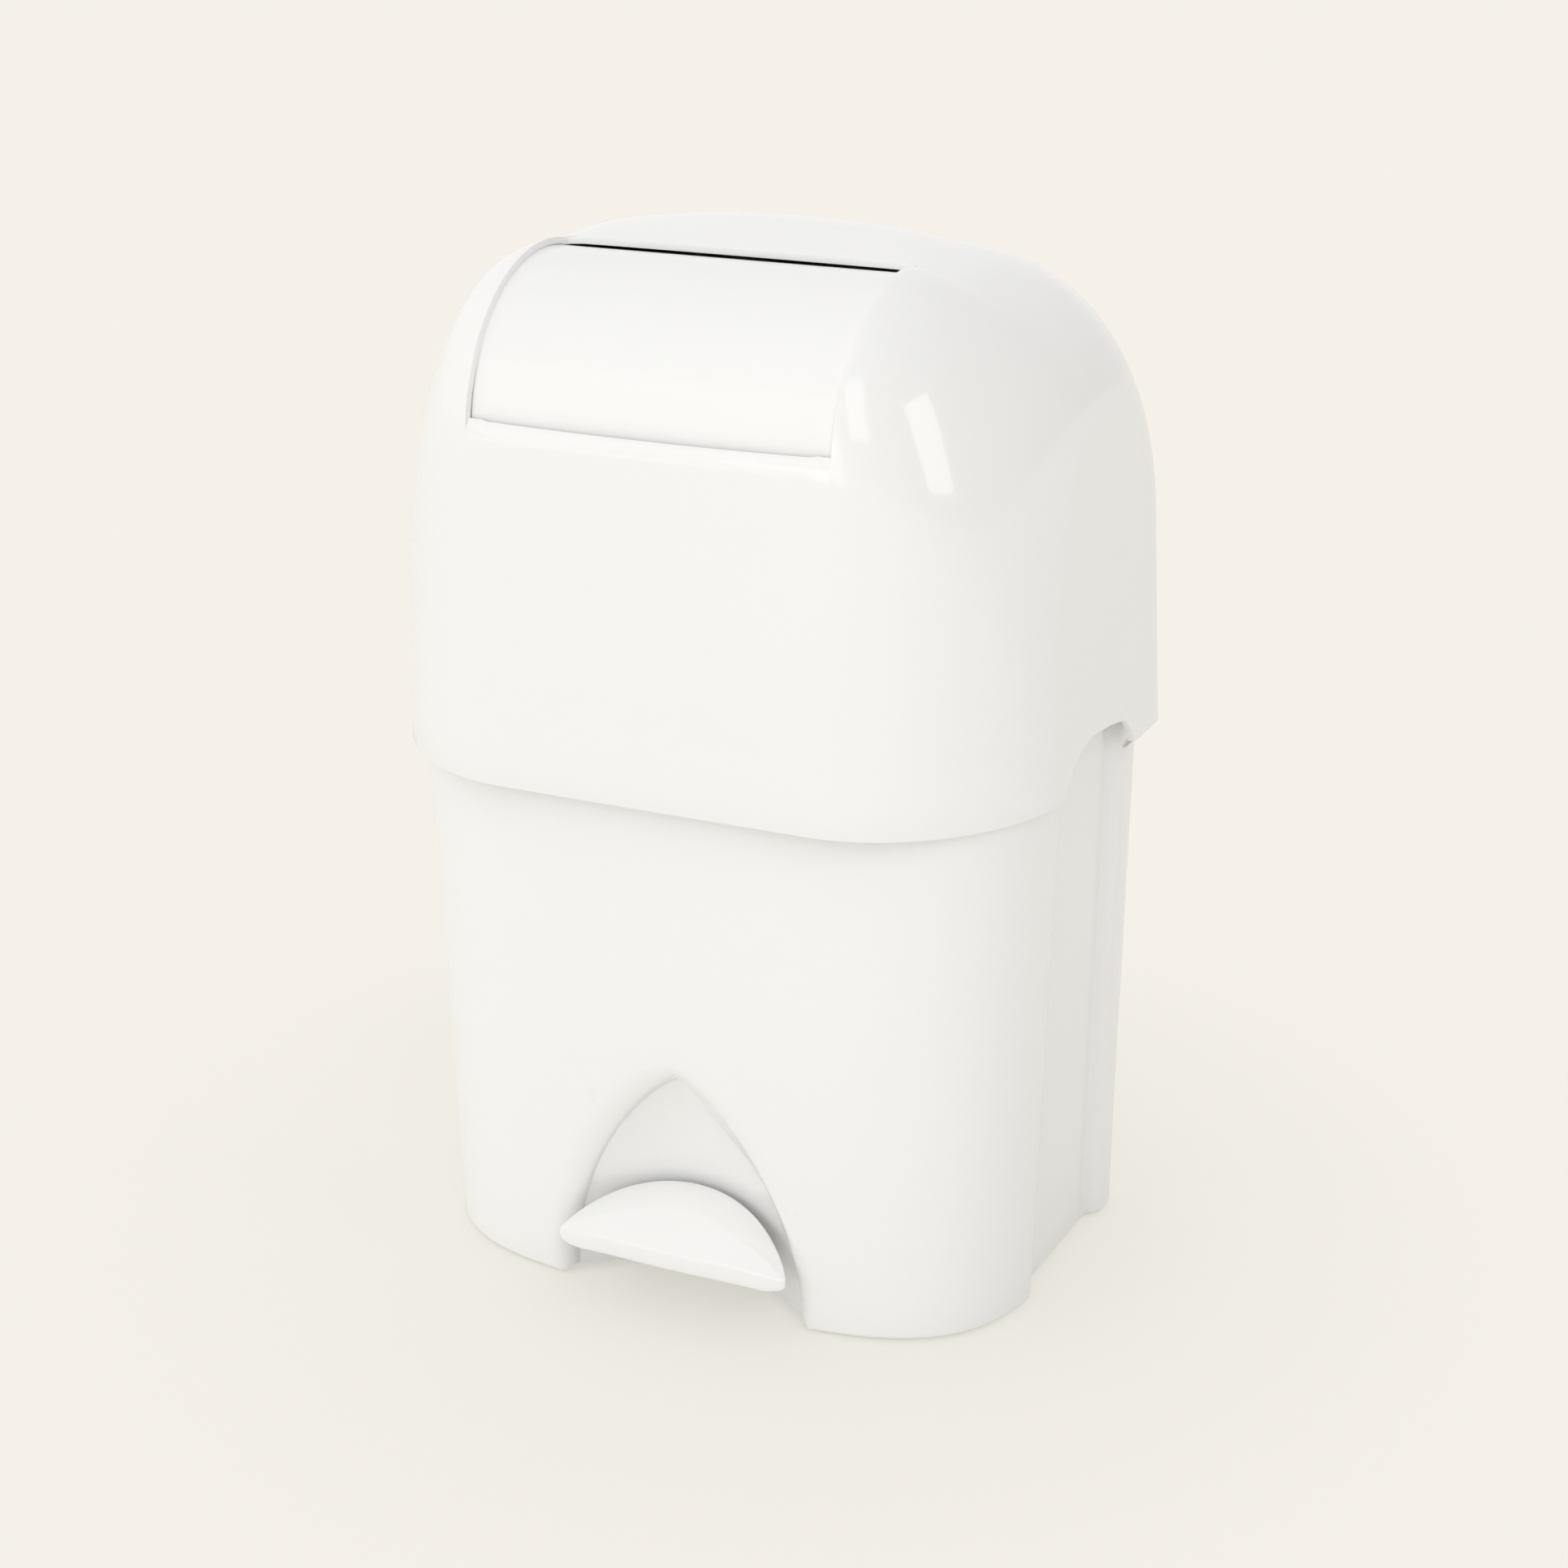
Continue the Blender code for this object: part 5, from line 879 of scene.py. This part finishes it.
# %% Bin: ribs of the axle, knuckles of the hinge and seats of the rod's guide
axle_y, axle_z, axle_hole = -0.0440, 0.0240, 0.0028
rib_inner, rib_outer, rib_front, rib_back, rib_low, through = 0.0660, 0.0700, -0.0550, -0.0330, 0.0140, 0.01
slot_front, slot_back = -0.0468, -0.0412
knuckle_inner, knuckle_outer, past_knuckle = 0.0660, 0.0780, 0.003
knuckle_web_low, knuckle_web_high = (0.0990, 0.2210), (0.1074, 0.2290)
for tag, side in sides:
    low_x, high_x = sorted((side * rib_inner, side * rib_outer))
    rib = block("axle_rib_" + tag, (low_x, rib_front, rib_low), (high_x, rib_back, floor_z + into_floor))
    start, end = low_x - through, high_x + through
    combine(rib, block("axle_slot", (start, slot_front, 0.0), (end, slot_back, axle_z)))
    combine(rib, bar("axle_bore", (start, axle_y, axle_z), (end, axle_y, axle_z), axle_hole))
    finished(rib, gloss_white, "white_plastic", "bin")
    low_x, high_x = sorted((side * knuckle_inner, side * knuckle_outer))
    knuckle = bar("hinge_knuckle_" + tag, (low_x, hinge_y, hinge_z), (high_x, hinge_y, hinge_z),
                  hinge_radius)
    combine(knuckle, block("knuckle_web", (low_x, *knuckle_web_low), (high_x, *knuckle_web_high)), "UNION")
    combine(knuckle, bar("knuckle_bore", (low_x - past_knuckle, hinge_y, hinge_z),
                         (high_x + past_knuckle, hinge_y, hinge_z), pin_hole))
    finished(knuckle, gloss_white, "white_plastic", "bin")
seat_z, seat_radius, seat_start, seat_end = 0.1430, 0.0040, 0.1290, 0.1350
guide_hole_start, guide_hole_end = 0.1260, 0.1325
for number, y in enumerate((0.0016, 0.0104)):
    seat = bar("guide_seat_%d" % number, (seat_start, y, seat_z), (seat_end, y, seat_z), seat_radius)
    combine(seat, bar("guide_bore", (guide_hole_start, y, seat_z), (guide_hole_end, y, seat_z), screw_hole))
    finished(seat, gloss_white, "white_plastic", "bin")

# %% [markdown]
# ## The pedal's pad
#
# The pad is a half-moon with a turned-down skirt. Its top slopes up towards the back, so that
# the toe meets it squarely. A slice of a cylinder would give the outline, but not the drooping
# tips. So a ring of points is extruded through a few levels: up the skirt, round the edge, and
# in over the slightly domed top.

# %% Pedal pad: one level of its outline
pad_points, pad_half, pad_tips_y, pad_middle_y = 96, 0.0541, -0.0823, -0.0955
pad_front, front_power, pad_back, back_sharpness = 0.0040, 0.95, 0.0262, 1.60
pad_height, pad_slope, pad_level_y, pad_dome, tip_droop = 0.0315, 0.636, 0.0995, 0.0042, 0.0040
skirt_tip, skirt_front, skirt_back, skirt_growth = 0.0030, 0.0072, 0.0101, 1.6


def pad_ring(scale, climb):
    """The pad's outline at one level: a share of its width, and a share of the skirt's height."""
    ring = []
    for step in range(pad_points):
        angle = 2.0 * math.pi * step / pad_points
        cosine, sine = math.cos(angle), math.sin(angle)
        reach, sharpness = (pad_front, front_power) if sine < 0.0 else (pad_back, back_sharpness)
        deep = math.copysign(abs(sine) ** sharpness, sine)
        wide = math.copysign(abs(cosine) ** min(1.0, sharpness), cosine)
        y = between(pad_tips_y, pad_middle_y, scale) + reach * deep * scale
        droop = tip_droop * (wide * scale) ** 4
        top = pad_height + pad_slope * (y + pad_level_y) + pad_dome * (1.0 - scale * scale) - droop
        skirt_end = skirt_front if deep < 0.0 else skirt_back
        skirt = between(skirt_tip, skirt_end, min(1.0, skirt_growth * abs(deep)))
        ring.append((pad_half * wide * scale, y, top - skirt * (1.0 - climb)))
    return ring


print("points in the pad's outline:", len(pad_ring(1.0, 0.0)))

# %% Pedal pad: skirt, edge and top
bm = bmesh.new()
ring = bmesh.ops.create_circle(bm, segments=pad_points, radius=1.0)["verts"]
ring.sort(key=lambda vert: math.atan2(vert.co.y, vert.co.x) % (2.0 * math.pi))
pad_levels = [(1.0, 0.0), (1.0, 0.40), (1.0, 0.78), (0.998, 0.87), (0.993, 0.94), (0.985, 0.98),
              (0.974, 1.0), (0.950, 1.0)]
pad_levels += [(scale, 1.0) for scale in (0.92, 0.87, 0.81, 0.74, 0.66, 0.57, 0.47, 0.36, 0.25, 0.14, 0.05)]
for number, level in enumerate(pad_levels):
    if number:
        ring = climbed(ring, bm)
    for vert, place in zip(ring, pad_ring(*level)):
        vert.co = place
bmesh.ops.contextual_create(bm, geom=ring)
bmesh.ops.recalc_face_normals(bm, faces=bm.faces)
pad = raw_piece("pedal_pad", bm)
if sum(face.normal.z for face in pad.data.polygons) < 0.0:
    pad.data.flip_normals()
pad_wall, pad_edge_round = 0.0022, 0.0004
wall(pad, pad_wall)
soften_edges(pad, pad_edge_round, 50.0)
finished(pad, gloss_white, "white_plastic", "pedal", "pedal", angle_deg=40.0)
boss_x, boss_y, boss_low, boss_high, boss_radius = 0.0240, -0.0830, 0.0258, 0.0424, 0.0042
for tag, side in sides:
    boss = bar("pad_boss_" + tag, (side * boss_x, boss_y, boss_low), (side * boss_x, boss_y, boss_high),
               boss_radius)
    finished(boss, gloss_white, "white_plastic", "pedal")
print("pad faces:", len(pad.data.polygons))

# %% [markdown]
# ## The drum's walls
#
# The flap closes the window and the scoop behind it takes the nappy. Both are thin moulded
# plates bent to the drum's circle, with a small boss in each corner for a screw through the end
# disc. Copies of the solids would do behind the window, but the flap shows in it, so its arc
# gets far more steps than the solid's, and the scoop is made the same way.

# %% Drum flap and scoop
drum_radius, drum_wall_half, drum_thick, drum_steps = 0.0654, 0.0775, 0.0025, 96
drum_boss_depth, drum_boss_radius, drum_boss_start, drum_boss_end = 0.0055, 0.0035, 0.0614, 0.0734
drum_hole, drum_hole_start, drum_hole_end = 0.0013, 0.0630, 0.08
for node, start, end, boss_angles in (("drum_flap", 72.3, 181.0, (92.0, 158.0)),
                                      ("drum_scoop", 280.0, 431.7, (298.0, 45.0))):
    arc = [on_circle((drum_y, drum_z), drum_radius, between(start, end, step / drum_steps))
           for step in range(drum_steps + 1)]
    arc += [on_circle((drum_y, drum_z), drum_radius - drum_thick, between(end, start, step / drum_steps))
            for step in range(drum_steps + 1)]
    shell = standing_slab(node + "_wall", arc, -drum_wall_half, drum_wall_half)
    for angle in boss_angles:
        y, z = on_circle((drum_y, drum_z), drum_radius - drum_boss_depth, angle)
        for tag, side in sides:
            boss = bar("drum_boss", (side * drum_boss_start, y, z), (side * drum_boss_end, y, z),
                       drum_boss_radius)
            combine(boss, bar("boss_bore", (side * drum_hole_start, y, z), (side * drum_hole_end, y, z),
                              drum_hole))
            combine(shell, boss, "UNION")
    finished(shell, gloss_white, "white_plastic", "drum", node)
print("drum wall steps:", drum_steps)

# %% [markdown]
# ## The inner pieces
#
# The drum, the cradle, the ring, the gears and the rod have the right shape already. A solid
# from the frame is loose triangles with flat shading, so a copy of it is merged and shaded
# smooth up to its real edges, and the copy stands for the solid. The return spring is pressed
# together between the rod's collar and its guide, and its copy gets a mesh of its own.

# %% Merged copies of the remaining solids
finishes = {"white_plastic": gloss_white, "inner_plastic": satin_white, "gear_plastic": gear_wax,
            "rubber": foot_rubber}
level_pieces = ("pedal_axle", "hinge_pin_left", "hinge_pin_right", "idler_pin")
copied = 0
for subpart in frame["record"]["subparts"]:
    node = subpart["node"]
    solid = frame["nodes"][node]
    if solid.hide_render:
        continue
    bm = bmesh.new()
    bm.from_mesh(solid.data)
    bmesh.ops.remove_doubles(bm, verts=bm.verts, dist=fine_weld)
    slot = subpart["material_slot"]
    steel = level_steel if node in level_pieces else upright_steel
    if "screw" in node:
        steel = screw_steel
    piece = raw_piece(node + "_smooth", bm)
    finished(piece, finishes.get(slot, steel), slot, solid["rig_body"], node)
    if node == "return_spring":
        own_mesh(piece)
    copied += 1
print("merged copies:", copied)

# %% [markdown]
# ## Floor and backdrop
#
# The bin stands on pale, slightly warm studio paper that runs on behind it. A lit floor alone
# would grow darker with the distance. So the camera and mirror-like rays also see the paper glow
# in the backdrop's colour. The glow fades in with the distance, which keeps the shadow under the
# bin, and it sends no light to the bin.

# %% Floor
backdrop, floor_half = (0.913, 0.880, 0.807), 15.0
glow_start, glow_full, least_glow = 0.10, 0.45, 0.62
bm = bmesh.new()
bmesh.ops.create_grid(bm, x_segments=8, y_segments=8, size=floor_half)
ground = raw_piece("studio_floor", bm)
paper = Finish("studio_paper", Roughness=0.9)
paper.tint(paper.grain(2.0), (0.85, 0.835, 0.79), (0.87, 0.855, 0.81))
glow = paper.node("ShaderNodeEmission", None, {"Color": (*backdrop, 1.0), "Strength": 1.0})
away = paper.node("ShaderNodeVectorMath", {"operation": "LENGTH"}, {0: paper.place}, 1)
far = paper.node("ShaderNodeMapRange", {"interpolation_type": "SMOOTHSTEP"},
                 {"Value": away, "From Min": glow_start, "From Max": glow_full,
                  "To Min": least_glow, "To Max": 1.0})
seen = [paper.node("ShaderNodeLightPath", output=ray)
        for ray in ("Is Camera Ray", "Is Glossy Ray", "Is Transmission Ray")]
blend = paper.node("ShaderNodeMixShader", None,
                   {0: far * (seen[0] + seen[1] + seen[2]), 1: Signal(paper, paper.shader.outputs[0]),
                    2: glow})
paper.plug(paper.tree.nodes["Material Output"].inputs["Surface"], blend)
ground.data.materials.append(paper.material)
print("floor half width in m:", floor_half)

# %% [markdown]
# ## The light of the room
#
# A glossy white shell shows the room as much as the lamps. The room is a sky of one soft white,
# which is brighter on the left than on the right. That alone makes the bin's right side darker
# than its front. A lamp could do this too, but it would leave a bright patch on the gloss.

# %% Sky
sky_white, bright_side, dim_side = (1.0, 0.993, 0.982, 1.0), 0.98, 0.50
fade_start, fade_end = -0.1, 0.75
world = bpy.data.worlds.new("studio")
bpy.context.scene.world = world
world.use_nodes = True
sky = Wiring(world.node_tree)
sky.tree.nodes.remove(sky.tree.nodes["Background"])
bright, dim = [sky.node("ShaderNodeBackground", None, {"Color": sky_white, "Strength": strength})
               for strength in (bright_side, dim_side)]
direction = sky.node("ShaderNodeTexCoord", output="Generated")
across = sky.node("ShaderNodeSeparateXYZ", None, {0: direction})
fade = sky.node("ShaderNodeMapRange", None,
                {"Value": across, "From Min": fade_start, "From Max": fade_end})
both = sky.node("ShaderNodeMixShader", None, {0: fade, 1: bright, 2: dim})
sky.plug(sky.tree.nodes["World Output"].inputs["Surface"], both)
print("sky strengths:", bright_side, dim_side)

# %% [markdown]
# ## Soft boxes
#
# A soft box is a wide lamp, whose reflection is a patch with its own outline. Two large ones
# light the front, one from the upper left and one low in front, for the pedal and the hollow.
# Two narrow ones on the right draw the bright patches on the hood's corner and side. All of them
# are weak, so that the white never burns out.

# %% Soft boxes
def soft_box(name, place, target, width, height, power):
    """An area lamp that looks at a target."""
    lamp = bpy.data.lights.new(name, "AREA")
    lamp.shape = "RECTANGLE"
    lamp.size, lamp.size_y = width, height
    lamp.energy = power
    box = bpy.data.objects.new(name, lamp)
    bpy.context.scene.collection.objects.link(box)
    box.location = place
    box.rotation_euler = (Vector(target) - Vector(place)).to_track_quat("-Z", "Y").to_euler()
    return box


boxes = [soft_box("key_box", (-1.0, -2.3, 1.3), (0.0, 0.0, 0.24), 1.6, 1.6, power=3.2),
         soft_box("front_box", (0.1, -2.4, 0.5), (0.0, 0.0, 0.12), 1.4, 1.0, power=5.0),
         soft_box("corner_box", (1.10, -1.40, 1.49), (0.08, -0.10, 0.40), 0.6, 1.15, power=3.6),
         soft_box("side_box", (2.00, -0.20, 0.95), (0.11, -0.08, 0.39), 0.5, 0.9, power=3.4)]
print("soft boxes:", len(boxes))

# %% [markdown]
# ## The camera
#
# The camera stands to the right of the front and looks down a little, where the picture was
# taken from. A constraint could aim it at the bin, but the three directions of its view, right,
# up and backwards, give its rotation exactly and keep the horizon level.

# %% Camera
turn, tip = math.radians(24.411), math.radians(20.637)
camera_place = (0.49211, -1.06199, 0.65351)
right = Vector((math.cos(turn), math.sin(turn), 0.0))
up = Vector((-math.sin(turn) * math.sin(tip), math.cos(turn) * math.sin(tip), math.cos(tip)))
lens = bpy.data.cameras.new("photo_camera")
lens.sensor_width, lens.lens = 36.0, 65.88
camera = bpy.data.objects.new("photo_camera", lens)
bpy.context.scene.collection.objects.link(camera)
camera.matrix_world = (Matrix.Translation(camera_place)
                       @ Matrix((right, up, right.cross(up))).transposed().to_4x4())
bpy.context.scene.camera = camera
bpy.context.scene.view_settings.view_transform = "Standard"
print("camera height in m:", round(camera.location.z, 3))
